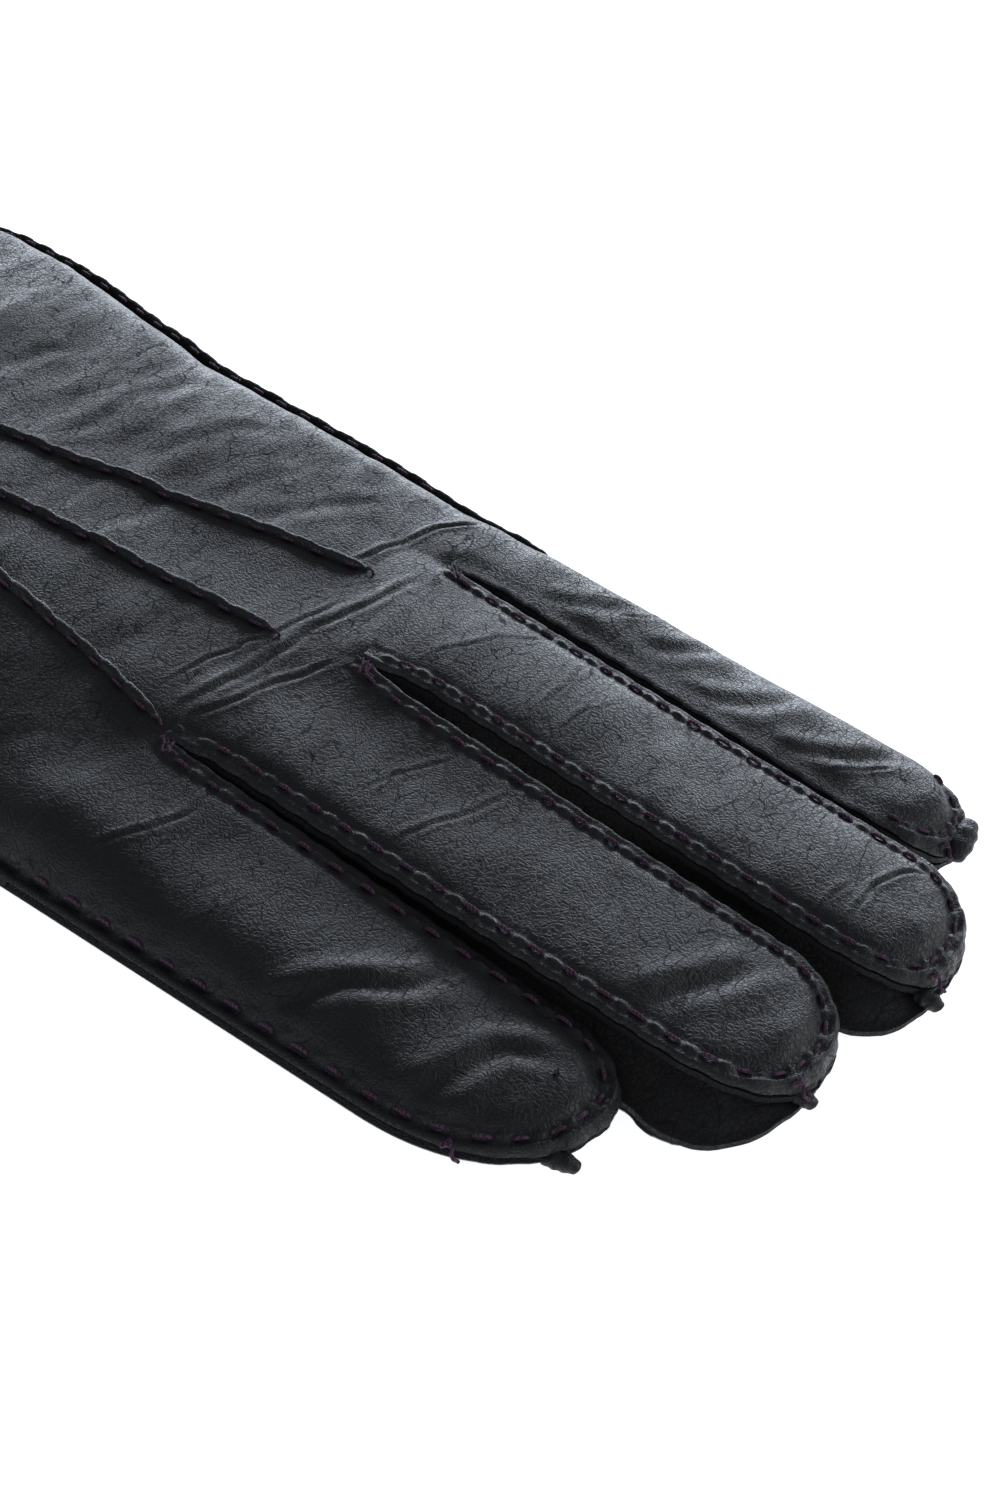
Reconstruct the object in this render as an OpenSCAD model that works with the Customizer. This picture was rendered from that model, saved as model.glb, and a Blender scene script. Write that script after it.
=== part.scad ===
// A right-hand leather dress glove lying palm down: fingers towards +X, thumb side towards +Y.
// The hide, forks, lining and threads are separate pieces. Each finger bends at its root,
// and the thumb swings out from under the palm.

/* [Hand] */
// Distance from the cuff edge to the fork between middle and ring finger
hand_l = 160; // [145:1:175]
// Height of the back of the hand above the table, over the thumb
hand_h = 18.5; // [18:0.25:20]
// Height of the glove at the cuff
cuff_h = 12; // [10:0.5:15]
// Length of the slit in the palm side of the cuff
vent_l = 42; // [20:1:55]

/* [Fingers] */
// Height of a finger where it joins the hand
finger_h = 15; // [14:0.25:15.5]
// Height of a finger just before its tip
finger_tip_h = 8.5; // [8:0.25:10]
// Length over which a fingertip rounds off
tip_l = 14; // [10:0.5:18]
// Width of a seam's standing edge beyond the fork strip
welt = 1.6; // [1.2:0.1:2.2]

/* [Thumb] */
// Radius of the thumb's round base
thumb_base_r = 13; // [12.5:0.1:13.5]
// Height of the thumb's standing outer seam
thumb_seam_h = 12; // [9:0.5:13]
// Radius of the round hole that joins the thumb to the palm
thumb_hole_r = 11; // [9:0.5:12]

/* [Materials] */
// Thickness of the glove leather
leather = 0.9; // [0.7:0.05:1.1]
// Thickness of a fork strip
fork_t = 0.8; // [0.6:0.05:0.9]
// Thickness of the knitted lining
lining_t = 0.6; // [0.4:0.05:0.7]
// Thickness of the sewing thread
thread_d = 0.45; // [0.35:0.05:0.6]

/* [Motion] */
// How far a finger bends towards the palm, in degrees
flex_down = 80; // [60:1:85]
// How far a finger bends back from the table, in degrees
flex_up = 20; // [10:1:25]

/* [Hidden] */
$fn = 48;

hide = "#2b2c31";
fork_hide = "#1d1e22";
thread = "#6d2f63";
knit = "#3a2437";

// The origin lies under the middle of the glove's box; these carry it there from the middle fork.
origin_x = 38;
origin_y = -3.1;

gap = 0.1;              // free space between loose layers
hinge_z = 2.5;          // height of the finger hinges
notch_gap = 0.15;       // free space on each side of a hinge line
notch_down = flex_down / 2 + 1;
notch_up = flex_up / 2 + 1;
seam_h = 2.2;           // height of two leather edges sewn together
seam_slope = 1.3;       // rise over run of the back leather beside the outer seam
steep = sqrt(1 + seam_slope * seam_slope);
slope_y = -53.5;        // where that slope meets the outer seam
swing_gap = 0.8;        // free space beside a finger's root as it bends
tip_power = 2.3;        // how square a fingertip is, seen from above
hem_in = 9;             // distance from the cuff edge to its stitching
far = 90;               // reach of cutting shapes
facing_l = 11;          // width of the facing inside the cuff
point_h = 1.4;          // height of the three raised lines on the back
point_w = 1.5;          // width of a raised line
point_l = 82;           // length of a raised line
point_starts = [[-13.5, -24.5], [-14, -2], [-14, 19]];
point_turns = [-11, -1, 8];
split_z = 10.4;         // height on the folded side where the back's leather ends

// Each finger: root x, root y, length, width at the root, width at the tip, splay angle,
// height at the root. The glove's back falls away towards the little finger.
INDEX = [-5, 38.3, 78, 20.6, 20.4, -1, finger_h];
MIDDLE = [0, 15.2, 84, 24.8, 25.2, -2.5, finger_h];
RING = [0, -13, 79, 25.6, 26.2, -3, finger_h - 1.5];
LITTLE = [-11, -40, 74, 25.6, 26.4, -2.5, finger_h - 3.5];
FINGERS = [INDEX, MIDDLE, RING, LITTLE];

// Ways in which the edges run from the cuff to the finger roots.
ulnar_edge = [[-hand_l, -46.5], [-122, -44.5], [-85, -46.5], [-45, -50], [-14, -52.6]];
radial_edge = [[-8, 48.4], [-24, 47], [-45, 47.5], [-65, 49.5], [-90, 56.5], [-114, 60.5],
    [-138, 55], [-hand_l, 49.5]];

// Thumb: swing axis, the middle of its round tip, and the heights of its flat top.
thumb_x = -97;
thumb_y = 42;
thumb_tip_x = -24;
thumb_tip_y = 36;
thumb_tip_l = 15;
thumb_h = 8;
thumb_tip_h = 5.4;
thumb_gap = 0.35;
thumb_seam_from = -77;  // where the standing seam clears the fold as the thumb swings
thumb_seam_out = 2;     // how far it stands beyond the hand's folded edge
thumb_seam_t = 1.5;

// ---------- curves ----------

function spline(p, i, t) = let (
        a = p[max(i - 1, 0)], b = p[i], c = p[i + 1], d = p[min(i + 2, len(p) - 1)])
    0.5 * (2 * b + (c - a) * t + (2 * a - 5 * b + 4 * c - d) * t * t
        + (3 * b - a - 3 * c + d) * t * t * t);

function smooth(p, steps = 5) =
    concat([for (i = [0 : len(p) - 2]) for (s = [0 : steps - 1]) spline(p, i, s / steps)],
        [p[len(p) - 1]]);

// Half the width of a tapered shape with a round end, at a distance s from its root.
function half_w(s, l, wr, wt, round_l) =
    s <= l - round_l
        ? (wr + (wt - wr) * s / (l - round_l)) / 2
        : wt / 2 * pow(max(0, 1 - pow((s - l + round_l) / round_l, tip_power)), 1 / tip_power);

function stations(l, round_l, back) =
    concat([-back], [for (i = [0 : 12]) l - round_l * (1 - sin(90 * i / 12))]);

function outline(l, wr, wt, round_l, back = 12) = let (s = stations(l, round_l, back), n = len(s))
    concat([for (i = [0 : n - 1]) [s[i], -half_w(s[i], l, wr, wt, round_l)]],
        [for (i = [n - 2 : -1 : 0]) [s[i], half_w(s[i], l, wr, wt, round_l)]]);

// ---------- finger shapes ----------

module at_finger(f) {
    translate([origin_x + f[0], origin_y + f[1], 0])
        rotate([0, 0, f[5]])
            children();
}

// The finger seen from above, inset by k on every side.
module finger_plan(f, k) {
    linear_extrude(height = finger_h + 3)
        polygon(outline(f[2] - k, f[3] - 2 * k, f[4] - 2 * k, tip_l - k));
}

// Height of a finger's top at a distance x from its root, for length l and root height h.
function top_z(x, l, h) = x <= l - tip_l
    ? h + (finger_tip_h - h) * x / (l - tip_l)
    : seam_h + (finger_tip_h - seam_h) * sqrt(max(0, 1 - pow((x - l + tip_l) / tip_l, 2)));

// The finger seen from the side, its top lowered by k, on a floor at the height given.
module finger_side(f, k, floor) {
    s = stations(f[2], tip_l, 12);
    translate([0, far, 0])
        rotate([90, 0, 0])
            linear_extrude(height = 2 * far)
                polygon(concat([[-12, floor]], [for (x = s) [x, top_z(x, f[2], f[6]) - k]],
                    [[f[2], floor]]));
}

// The side of a finger's hinge that belongs to the finger.
module past_hinge() {
    up = finger_h + 4 - hinge_z;
    down = hinge_z + 1;
    translate([0, far, 0])
        rotate([90, 0, 0])
            linear_extrude(height = 2 * far)
                polygon([[notch_gap, hinge_z],
                    [notch_gap + down * tan(notch_down), hinge_z - down], [far + 5, hinge_z - down],
                    [far + 5, hinge_z + up], [notch_gap + up * tan(notch_up), hinge_z + up]]);
}

// A half of the finger: side 1 faces the thumb, side -1 faces away from it.
module half(side) {
    translate([-20, side > 0 ? 0.01 : -far - 0.01, -1])
        cube([far + 40, far, finger_h + 6]);
}

// Room under the sloping back leather beside the outer seam, lowered by k.
module under_slope(f, k) {
    edge = -f[3] / 2;
    run = finger_h / seam_slope;
    low = seam_h - k * steep;
    rotate([90, 0, 90])
        translate([0, 0, -20])
            linear_extrude(height = far + 40)
                polygon([[edge, -1], [edge, low], [edge + run, low + finger_h],
                    [far, finger_h + 5], [far, -1]]);
}

module finger_back(f, sloped = false) {
    intersection() {
        finger_plan(f, 0);
        past_hinge();
        difference() {
            intersection() {
                finger_side(f, 0, leather);
                if (sloped) under_slope(f, 0);
            }
            intersection() {
                finger_side(f, leather, leather);
                if (sloped) under_slope(f, leather);
            }
        }
    }
}

module finger_palm(f) {
    intersection() {
        finger_plan(f, 0);
        past_hinge();
        translate([-20, -far / 2, 0])
            cube([far + 40, far, leather]);
    }
}

// A fork strip: the wall between back and palm on one side, tapering round the tip.
module fork_strip(f, side) {
    intersection() {
        difference() {
            finger_plan(f, welt);
            finger_plan(f, welt + fork_t);
        }
        finger_side(f, leather, leather);
        past_hinge();
        half(side);
    }
}

// The folded edge of the index finger, where back and palm are one piece.
module fold_wall(f) {
    intersection() {
        difference() {
            finger_plan(f, 0);
            finger_plan(f, leather);
        }
        finger_side(f, 0, 0);
        past_hinge();
        half(1);
    }
}

module finger_lining(f, sloped = false) {
    outer = welt + fork_t + gap;
    up = leather + gap;
    intersection() {
        past_hinge();
        difference() {
            intersection() {
                finger_plan(f, outer);
                finger_side(f, up, up);
                if (sloped) under_slope(f, up);
            }
            intersection() {
                finger_plan(f, outer + lining_t);
                finger_side(f, up + lining_t, up + lining_t);
                if (sloped) under_slope(f, up + lining_t);
            }
        }
    }
}

// A run of thread on one side of the finger, inset from its edge by k, on the back.
module top_thread(f, side, k) {
    intersection() {
        difference() {
            finger_plan(f, k);
            finger_plan(f, k + thread_d);
        }
        difference() {
            finger_side(f, -thread_d, leather);
            finger_side(f, 0, leather);
        }
        translate([4, -far / 2, leather])
            cube([f[2] - tip_l - 5, far, far]);
        half(side);
    }
}

// The same along the palm piece's edge.
module palm_thread(f, side) {
    intersection() {
        difference() {
            finger_plan(f, (welt - thread_d) / 2);
            finger_plan(f, (welt + thread_d) / 2);
        }
        translate([4, -far / 2, leather])
            cube([f[2] - tip_l - 5, far, thread_d]);
        half(side);
    }
}

module finger_thread(f, sides) {
    color(thread)
        at_finger(f)
            for (side = sides) {
                top_thread(f, side, welt);
                palm_thread(f, side);
            }
}

// ---------- hand shapes ----------

module at_glove() {
    translate([origin_x, origin_y, 0])
        children();
}

// The hand seen from above, inset by k; an inset one runs on through both ends.
module hand_plan(k) {
    inner = k > 0.5;
    front = inner ? 12 : 0;
    low = [for (p = smooth(ulnar_edge)) p + [0, k]];
    high = [for (p = smooth(radial_edge)) p - [0, k]];
    tail = inner ? [high[len(high) - 1] - [8, 0], low[0] - [8, 0]] : [];
    linear_extrude(height = hand_h + 4)
        polygon(concat(low,
            [[LITTLE[0] + front, LITTLE[1] - LITTLE[3] / 2 + k],
                [LITTLE[0] + front, RING[1] - RING[3] / 2 + k],
                [RING[0] + front, RING[1] - RING[3] / 2 + k],
                [RING[0] + front, MIDDLE[1] + MIDDLE[3] / 2 - k],
                [INDEX[0] + front, MIDDLE[1] + MIDDLE[3] / 2 - k],
                [INDEX[0] + front, INDEX[1] + INDEX[3] / 2 - k]],
            high, tail));
}

// The hand seen along the fingers: low at the outer seam, round at the fold.
module hand_section(k) {
    rise = 9;
    edge = k > 0.5
        ? [[slope_y + (k * (1 + steep) - seam_h) / seam_slope, k]]
        : [[-60, k], [-60, seam_h - k], [slope_y, seam_h - k]];
    brow = slope_y + (rise + k * (steep - 1)) / seam_slope;
    rotate([90, 0, 90])
        translate([0, 0, -hand_l - 20])
            linear_extrude(height = hand_l + 60)
                polygon(concat(edge,
                    [[brow, seam_h + rise - k], [-25, 13.8 - k], [0, 16 - k], [30, hand_h - k],
                        [46, hand_h - 0.5 - k], [56, hand_h - 2 - k], [66, hand_h - 5 - k],
                        [66, k]]));
}

// The hand seen from the side: thick over the thumb, thinner at the knuckles and the cuff.
module hand_side(k) {
    top = smooth([[-hand_l - 10, cuff_h], [-hand_l, cuff_h], [-130, 16], [-100, hand_h],
        [-60, hand_h - 0.5], [-18, 16.3], [0, finger_h], [15, finger_h]], 3);
    translate([0, far, 0])
        rotate([90, 0, 0])
            linear_extrude(height = 2 * far)
                polygon(concat([[-hand_l - 10, k]], [for (p = top) p - [0, k]], [[15, k]]));
}

// The hollow under the palm in which the thumb lies, grown by k.
module thumb_bed(k) {
    roof = thumb_h + thumb_gap + k;
    front = thumb_tip_h + thumb_gap + k;
    intersection() {
        translate([0, far, 0])
            rotate([90, 0, 0])
                linear_extrude(height = far)
                    polygon([[-128 - k, -1], [-128 - k, k], [-112 - k, roof], [-88, roof],
                        [-9, front], [30, front], [30, -1]]);
        rotate([90, 0, 90])
            translate([0, 0, -hand_l])
                linear_extrude(height = hand_l + 30)
                    polygon([[12 - k, -1], [12 - k, k], [23 - k, roof + 1], [far, roof + 1],
                        [far, -1]]);
    }
}

module hand_block(k) {
    intersection() {
        hand_plan(max(k, 0));
        hand_section(k);
        hand_side(k);
    }
}

module hand_form(k) {
    difference() {
        hand_block(k);
        thumb_bed(k);
    }
}

// A skin of thickness h on the outside of the hand.
module hand_skin(h) {
    difference() {
        hand_block(-h);
        hand_block(0);
    }
}

// What the fingers' swing takes away from the front of the hand.
module hinge_notches() {
    up = finger_h + 6 - hinge_z;
    down = hinge_z + 1;
    for (f = FINGERS)
        translate([f[0], f[1], 0])
            rotate([0, 0, f[5]])
                translate([0, f[3] / 2 + swing_gap, 0])
                    rotate([90, 0, 0])
                        linear_extrude(height = f[3] + 2 * swing_gap)
                            polygon([[-notch_gap, hinge_z],
                                [-notch_gap - down * tan(notch_down), hinge_z - down],
                                [16, hinge_z - down], [16, hinge_z + up],
                                [-notch_gap - up * tan(notch_up), hinge_z + up]]);
}

// Everything above the line that divides the back's leather from the palm's.
module above_split() {
    rotate([90, 0, 90])
        translate([0, 0, -hand_l - 20])
            linear_extrude(height = hand_l + 60)
                polygon([[-far, seam_h / 2], [-50, seam_h / 2], [0, split_z / 2], [20, split_z],
                    [far, split_z], [far, far], [-far, far]]);
}

module hand_shell() {
    difference() {
        hand_form(0);
        hand_form(leather);
        hinge_notches();
        thumb_way();
        vent();
    }
}

module thumb_way() {
    translate([thumb_x, thumb_y, 4])
        cylinder(r = thumb_hole_r, h = 6);
}

module vent() {
    translate([-hand_l - 1, 0, -1])
        linear_extrude(height = 5)
            polygon([[0, -3], [vent_l, 0], [0, 3]]);
}

// One of the three raised lines on the back, as a strip seen from above.
module point_strip(i, w) {
    translate([point_starts[i][0], point_starts[i][1], 5])
        rotate([0, 0, 180 + point_turns[i]])
            translate([0, -w / 2, 0])
                cube([point_l, w, hand_h]);
}

module hand_back() {
    color(hide)
        at_glove()
            intersection() {
                hand_shell();
                above_split();
            }
}

module hand_palm() {
    color(hide)
        at_glove()
            difference() {
                hand_shell();
                above_split();
            }
}

// The standing seam between the hand and the base of the thumb, on the folded side.
module thumb_hole_welt() {
    edge = [for (p = smooth(radial_edge)) if (p[0] > -132 && p[0] < -80) p];
    color(hide)
        at_glove()
            translate([0, 0, split_z])
                linear_extrude(height = 2.5)
                    polygon(concat([for (p = edge) p],
                        [for (i = [len(edge) - 1 : -1 : 0]) edge[i] + [0, welt]]));
}

module hand_lining() {
    k = leather + gap;
    color(knit)
        at_glove()
            difference() {
                hand_form(k);
                hand_form(k + lining_t);
                hinge_notches();
                thumb_way();
                vent();
                translate([-hand_l - 20, -far, -1])
                    cube([20 + facing_l, 2 * far, 30]);
                translate([LITTLE[0] - 3, -far, -1])
                    cube([30, far + RING[1] - RING[3] / 2, 30]);
                translate([RING[0] - 3, -far, -1])
                    cube([30, 2 * far, 30]);
            }
}

module cuff_facing() {
    k = leather + gap;
    color(hide)
        at_glove()
            difference() {
                hand_form(k);
                hand_form(k + lining_t);
                vent();
                translate([-hand_l + facing_l - gap, -far, -1])
                    cube([hand_l + 20, 2 * far, 30]);
                translate([-hand_l - 20, -far, -1])
                    cube([20, 2 * far, 30]);
            }
}

module back_points() {
    color(hide)
        at_glove()
            intersection() {
                for (i = [0 : 2])
                    point_strip(i, point_w);
                hand_skin(point_h);
            }
}

module points_thread() {
    color(thread)
        at_glove()
            intersection() {
                for (i = [0 : 2])
                    difference() {
                        point_strip(i, point_w + 2 * thread_d);
                        point_strip(i, point_w);
                    }
                hand_skin(thread_d);
            }
}

module side_seam_thread() {
    edge = [for (p = smooth(ulnar_edge)) if (p[0] < LITTLE[0] - 3) p];
    color(thread)
        at_glove()
            translate([0, 0, 0.95])
                linear_extrude(height = 0.35)
                    polygon(concat(edge, [for (i = [len(edge) - 1 : -1 : 0]) edge[i] - [0, 0.4]]));
}

module hem_thread() {
    color(thread)
        at_glove()
            intersection() {
                hand_skin(thread_d);
                translate([-hand_l + hem_in, -40, 5])
                    cube([thread_d, 84, 12]);
            }
}

// ---------- fingers ----------

module index_trank() {
    color(hide)
        at_finger(INDEX)
            union() {
                finger_back(INDEX);
                finger_palm(INDEX);
                fold_wall(INDEX);
            }
}

module index_fork() {
    color(fork_hide)
        at_finger(INDEX)
            fork_strip(INDEX, -1);
}

module index_lining() {
    color(knit)
        at_finger(INDEX)
            finger_lining(INDEX);
}

module index_thread() {
    finger_thread(INDEX, [-1]);
}

module middle_back() {
    color(hide) at_finger(MIDDLE) finger_back(MIDDLE);
}

module middle_palm() {
    color(hide) at_finger(MIDDLE) finger_palm(MIDDLE);
}

module middle_fork_index_side() {
    color(fork_hide) at_finger(MIDDLE) fork_strip(MIDDLE, 1);
}

module middle_fork_ring_side() {
    color(fork_hide) at_finger(MIDDLE) fork_strip(MIDDLE, -1);
}

module middle_lining() {
    color(knit) at_finger(MIDDLE) finger_lining(MIDDLE);
}

module ring_back() {
    color(hide) at_finger(RING) finger_back(RING);
}

module ring_palm() {
    color(hide) at_finger(RING) finger_palm(RING);
}

module ring_fork_middle_side() {
    color(fork_hide) at_finger(RING) fork_strip(RING, 1);
}

module ring_fork_little_side() {
    color(fork_hide) at_finger(RING) fork_strip(RING, -1);
}

module ring_lining() {
    color(knit) at_finger(RING) finger_lining(RING);
}

module little_back() {
    color(hide) at_finger(LITTLE) finger_back(LITTLE, sloped = true);
}

module little_palm() {
    color(hide) at_finger(LITTLE) finger_palm(LITTLE);
}

module little_fork() {
    color(fork_hide) at_finger(LITTLE) fork_strip(LITTLE, 1);
}

module little_lining() {
    color(knit) at_finger(LITTLE) finger_lining(LITTLE, sloped = true);
}

module little_thread() {
    finger_thread(LITTLE, [1]);
}

// ---------- thumb ----------

// The hand's folded edge from the standing seam's start to the thumb's tip, moved out by d.
function seam_line(d) = [for (p = smooth(radial_edge))
    if (p[0] > thumb_seam_from && p[0] < thumb_tip_x - 2) p + [0, d]];

// The thumb seen from above, inset by k: a round base about its axis and a round tip.
module thumb_plan(k) {
    outer = seam_line(thumb_seam_out - k);
    tip_w = outer[0][1] - thumb_tip_y;
    tip = [for (a = [80 : -16 : -80])
        [thumb_tip_x + (thumb_tip_l - k) * cos(a), thumb_tip_y + tip_w * sin(a)]];
    linear_extrude(height = thumb_seam_h)
        union() {
            translate([thumb_x, thumb_y])
                circle(r = thumb_base_r - k);
            polygon(concat(tip, [[thumb_x, thumb_y - thumb_base_r + k],
                [thumb_x, thumb_y + thumb_base_r - k]],
                [for (i = [len(outer) - 1 : -1 : 0]) outer[i]]));
        }
}

module thumb_side(k) {
    end = thumb_tip_x + thumb_tip_l;
    translate([0, far, 0])
        rotate([90, 0, 0])
            linear_extrude(height = far)
                polygon([[thumb_x - 20, k], [thumb_x - 20, thumb_h - k], [thumb_x + 10, thumb_h - k],
                    [end - 4, thumb_tip_h - k], [end - 1, thumb_tip_h - 1 - k],
                    [end + 1, thumb_tip_h - 3 - k], [end + 1, k]]);
}

module thumb_form(k) {
    intersection() {
        thumb_plan(k);
        thumb_side(k);
    }
}

// The standing outer seam, beside the hand's folded edge.
module thumb_standing_seam() {
    in = seam_line(thumb_seam_out - thumb_seam_t);
    out = seam_line(thumb_seam_out);
    linear_extrude(height = thumb_seam_h)
        polygon(concat(in, [for (i = [len(out) - 1 : -1 : 0]) out[i]]));
}

module thumb_leather() {
    color(hide)
        at_glove()
            difference() {
                union() {
                    difference() {
                        thumb_form(0);
                        thumb_form(leather);
                    }
                    thumb_standing_seam();
                }
                thumb_way();
            }
}

module thumb_lining() {
    k = leather + gap;
    color(knit)
        at_glove()
            difference() {
                thumb_form(k);
                thumb_form(k + lining_t);
                thumb_standing_seam();
                thumb_way();
            }
}

module thumb_thread() {
    line = seam_line(thumb_seam_out - thumb_seam_t / 2);
    color(thread)
        at_glove()
            translate([0, 0, thumb_seam_h])
                linear_extrude(height = thread_d)
                    polygon(concat(line,
                        [for (i = [len(line) - 1 : -1 : 0]) line[i] + [0, thread_d]]));
}

hand_back();
hand_palm();
thumb_hole_welt();
hand_lining();
cuff_facing();
back_points();
points_thread();
side_seam_thread();
hem_thread();
index_trank();
index_fork();
index_lining();
index_thread();
middle_back();
middle_palm();
middle_fork_index_side();
middle_fork_ring_side();
middle_lining();
finger_thread(MIDDLE, [-1, 1]);  // middle_thread
ring_back();
ring_palm();
ring_fork_middle_side();
ring_fork_little_side();
ring_lining();
finger_thread(RING, [-1, 1]);  // ring_thread
little_back();
little_palm();
little_fork();
little_lining();
little_thread();
thumb_leather();
thumb_lining();
thumb_thread();
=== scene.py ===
"""The looks of a right-hand dress glove in black leather, lying palm down.

All shapes are worked out in millimetres from the gap between the middle and ring fingers, with x
towards the fingertips, y towards the thumb side and z up. place() turns them into the frame's metres.
Back and palm leather, fourchettes, raised welts, stitches and linings are separate pieces. The hand's
pieces ride the hand. Each finger's pieces start on the finger's root line.
"""

import math

import bpy
import numpy as np
from mathutils import Matrix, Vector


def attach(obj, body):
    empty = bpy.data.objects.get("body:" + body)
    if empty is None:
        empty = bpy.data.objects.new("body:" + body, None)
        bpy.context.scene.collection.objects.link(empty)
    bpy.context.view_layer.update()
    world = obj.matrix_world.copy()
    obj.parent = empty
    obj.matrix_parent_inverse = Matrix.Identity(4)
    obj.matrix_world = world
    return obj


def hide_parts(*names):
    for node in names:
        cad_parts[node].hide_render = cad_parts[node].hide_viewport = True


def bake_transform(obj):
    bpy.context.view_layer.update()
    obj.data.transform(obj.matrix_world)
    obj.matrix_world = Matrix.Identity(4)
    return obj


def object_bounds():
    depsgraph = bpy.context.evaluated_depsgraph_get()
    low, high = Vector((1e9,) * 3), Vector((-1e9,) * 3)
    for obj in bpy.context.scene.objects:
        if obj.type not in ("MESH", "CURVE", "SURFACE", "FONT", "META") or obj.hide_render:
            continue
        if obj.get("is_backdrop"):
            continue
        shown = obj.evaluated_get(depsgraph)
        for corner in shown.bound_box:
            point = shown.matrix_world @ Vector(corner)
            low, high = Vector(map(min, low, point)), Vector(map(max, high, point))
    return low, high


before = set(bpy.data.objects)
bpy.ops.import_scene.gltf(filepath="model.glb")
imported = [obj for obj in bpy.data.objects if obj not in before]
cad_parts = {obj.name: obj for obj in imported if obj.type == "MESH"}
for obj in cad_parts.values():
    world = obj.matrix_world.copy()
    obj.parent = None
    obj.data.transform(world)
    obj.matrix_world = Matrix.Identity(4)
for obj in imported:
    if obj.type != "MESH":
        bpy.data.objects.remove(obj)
cad_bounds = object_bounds()

ORIGIN = np.array([38.0, -3.1, 0.0])  # from the gap between middle and ring to the frame's origin
LEATHER = 0.9
FORK = 0.8
PITCH = 4.7  # from one stitch to the next
STITCH = 2.1
GROOVE = 1.9  # the stitch line's distance from a cut edge
THREAD_R = 0.27
FLOOR_Z = 0.0


# ---------------------------------------------------------------- numbers and curves
def ease(t):
    t = np.clip(t, 0, 1)
    return t * t * (3 - 2 * t)


def lerp(a, b, t):
    return a + (b - a) * t


def hill(d, width):
    return np.exp(-((d / width) ** 2))


def spline(points):
    """A smooth function through (x, value) pairs."""
    x, y = np.array(sorted(points), float).T
    slope = np.gradient(y, x)

    def at(q):
        q = np.clip(q, x[0], x[-1])
        i = np.clip(np.searchsorted(x, q, side="right") - 1, 0, len(x) - 2)
        h = x[i + 1] - x[i]
        t = (q - x[i]) / h
        return (
            (1 + 2 * t) * (1 - t) ** 2 * y[i]
            + t * (1 - t) ** 2 * h * slope[i]
            + t * t * (3 - 2 * t) * y[i + 1]
            + t * t * (t - 1) * h * slope[i + 1]
        )

    return at


def smooth_path(points, n):
    """n points spaced evenly along a smooth curve through the given ones."""
    points = np.array(points, float)
    step = np.concatenate([[0], np.cumsum(np.linalg.norm(np.diff(points, axis=0), axis=1))])
    at = np.linspace(0, step[-1], n)
    return np.stack([spline(list(zip(step, points[:, k])))(at) for k in range(points.shape[1])], 1)


def noise(x, y, seed):
    """Smooth noise from -1 to 1 with features about one unit wide."""
    xi, yi = np.floor(x).astype(np.int64), np.floor(y).astype(np.int64)
    fx, fy = ease(x - xi), ease(y - yi)

    def corner(i, j):
        h = (xi + i) * 374761393 + (yi + j) * 668265263 + seed * 974634777
        h = ((h ^ (h >> 13)) * 1274126177) & 0xFFFFFFFF
        return ((h ^ (h >> 16)) & 0xFFFF) / 32767.5 - 1

    return lerp(lerp(corner(0, 0), corner(1, 0), fx), lerp(corner(0, 1), corner(1, 1), fx), fy)


def clouds(x, y, size, seed, octaves=2):
    total = 0
    for k in range(octaves):
        s = size / 2**k
        total = total + noise(x / s + 7.3 * k, y / s - 3.1 * k, seed + k) * 0.55**k
    return total


# ---------------------------------------------------------------- mesh helpers
def place(points):
    return (np.asarray(points, float) + ORIGIN) / 1000


def quads(index):
    """Faces between neighbouring rows and columns of a grid of vertex numbers."""
    f = np.stack([index[:-1, :-1], index[1:, :-1], index[1:, 1:], index[:-1, 1:]], -1).reshape(-1, 4)
    return f


def clean(faces):
    """Faces as lists, with repeated corners dropped."""
    out = []
    for f in np.asarray(faces).tolist():
        g = [v for k, v in enumerate(f) if v != f[k - 1]]
        if len(set(g)) == len(g) and len(g) > 2:
            out.append(g)
    return out


def vertex_normals(points, faces):
    a, b, c, d = (points[faces[:, k]] for k in range(4))
    n = np.cross(c - a, d - b)
    total = np.zeros_like(points)
    for k in range(4):
        np.add.at(total, faces[:, k], n)
    return total / np.maximum(np.linalg.norm(total, axis=1, keepdims=True), 1e-12)


def shell(points, faces, thick):
    """A closed solid from a sheet: its inner side is thick below its outer side."""
    points, faces = np.asarray(points, float), np.asarray(faces)
    inner = points - vertex_normals(points, faces) * thick
    n = len(points)
    start = faces.reshape(-1)
    end = np.roll(faces, -1, axis=1).reshape(-1)
    real = start != end
    start, end = start[real], end[real]
    rim = ~np.isin(start * n + end, end * n + start)
    a, b = start[rim], end[rim]
    wall = np.stack([b, a, a + n, b + n], -1)
    return np.vstack([points, inner]), clean(np.vstack([faces, faces[:, ::-1] + n, wall]))


def sweep(centre, side, up, section, closed=False):
    """A solid along a line of points. section holds one loop of (side, up) offsets per point."""
    centre, side, up, section = (np.asarray(v, float) for v in (centre, side, up, section))
    n, k = section.shape[:2]
    p = centre[:, None] + side[:, None] * section[..., :1] + up[:, None] * section[..., 1:]
    index = np.arange(n * k).reshape(n, k)
    loop = np.hstack([index, index[:, :1]])
    faces = clean(quads(loop)[:, ::-1])
    if not closed:
        faces += [index[0].tolist(), index[-1][::-1].tolist()]
    return p.reshape(-1, 3), faces


def across(path):
    """For each point of a path: the direction along it, to its left on the table, and up."""
    path = np.asarray(path, float)
    along = np.gradient(path, axis=0)
    along /= np.linalg.norm(along, axis=1, keepdims=True)
    left = np.cross([0, 0, 1.0], along)
    left /= np.maximum(np.linalg.norm(left, axis=1, keepdims=True), 1e-9)
    return along, left, np.cross(along, left)


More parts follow.
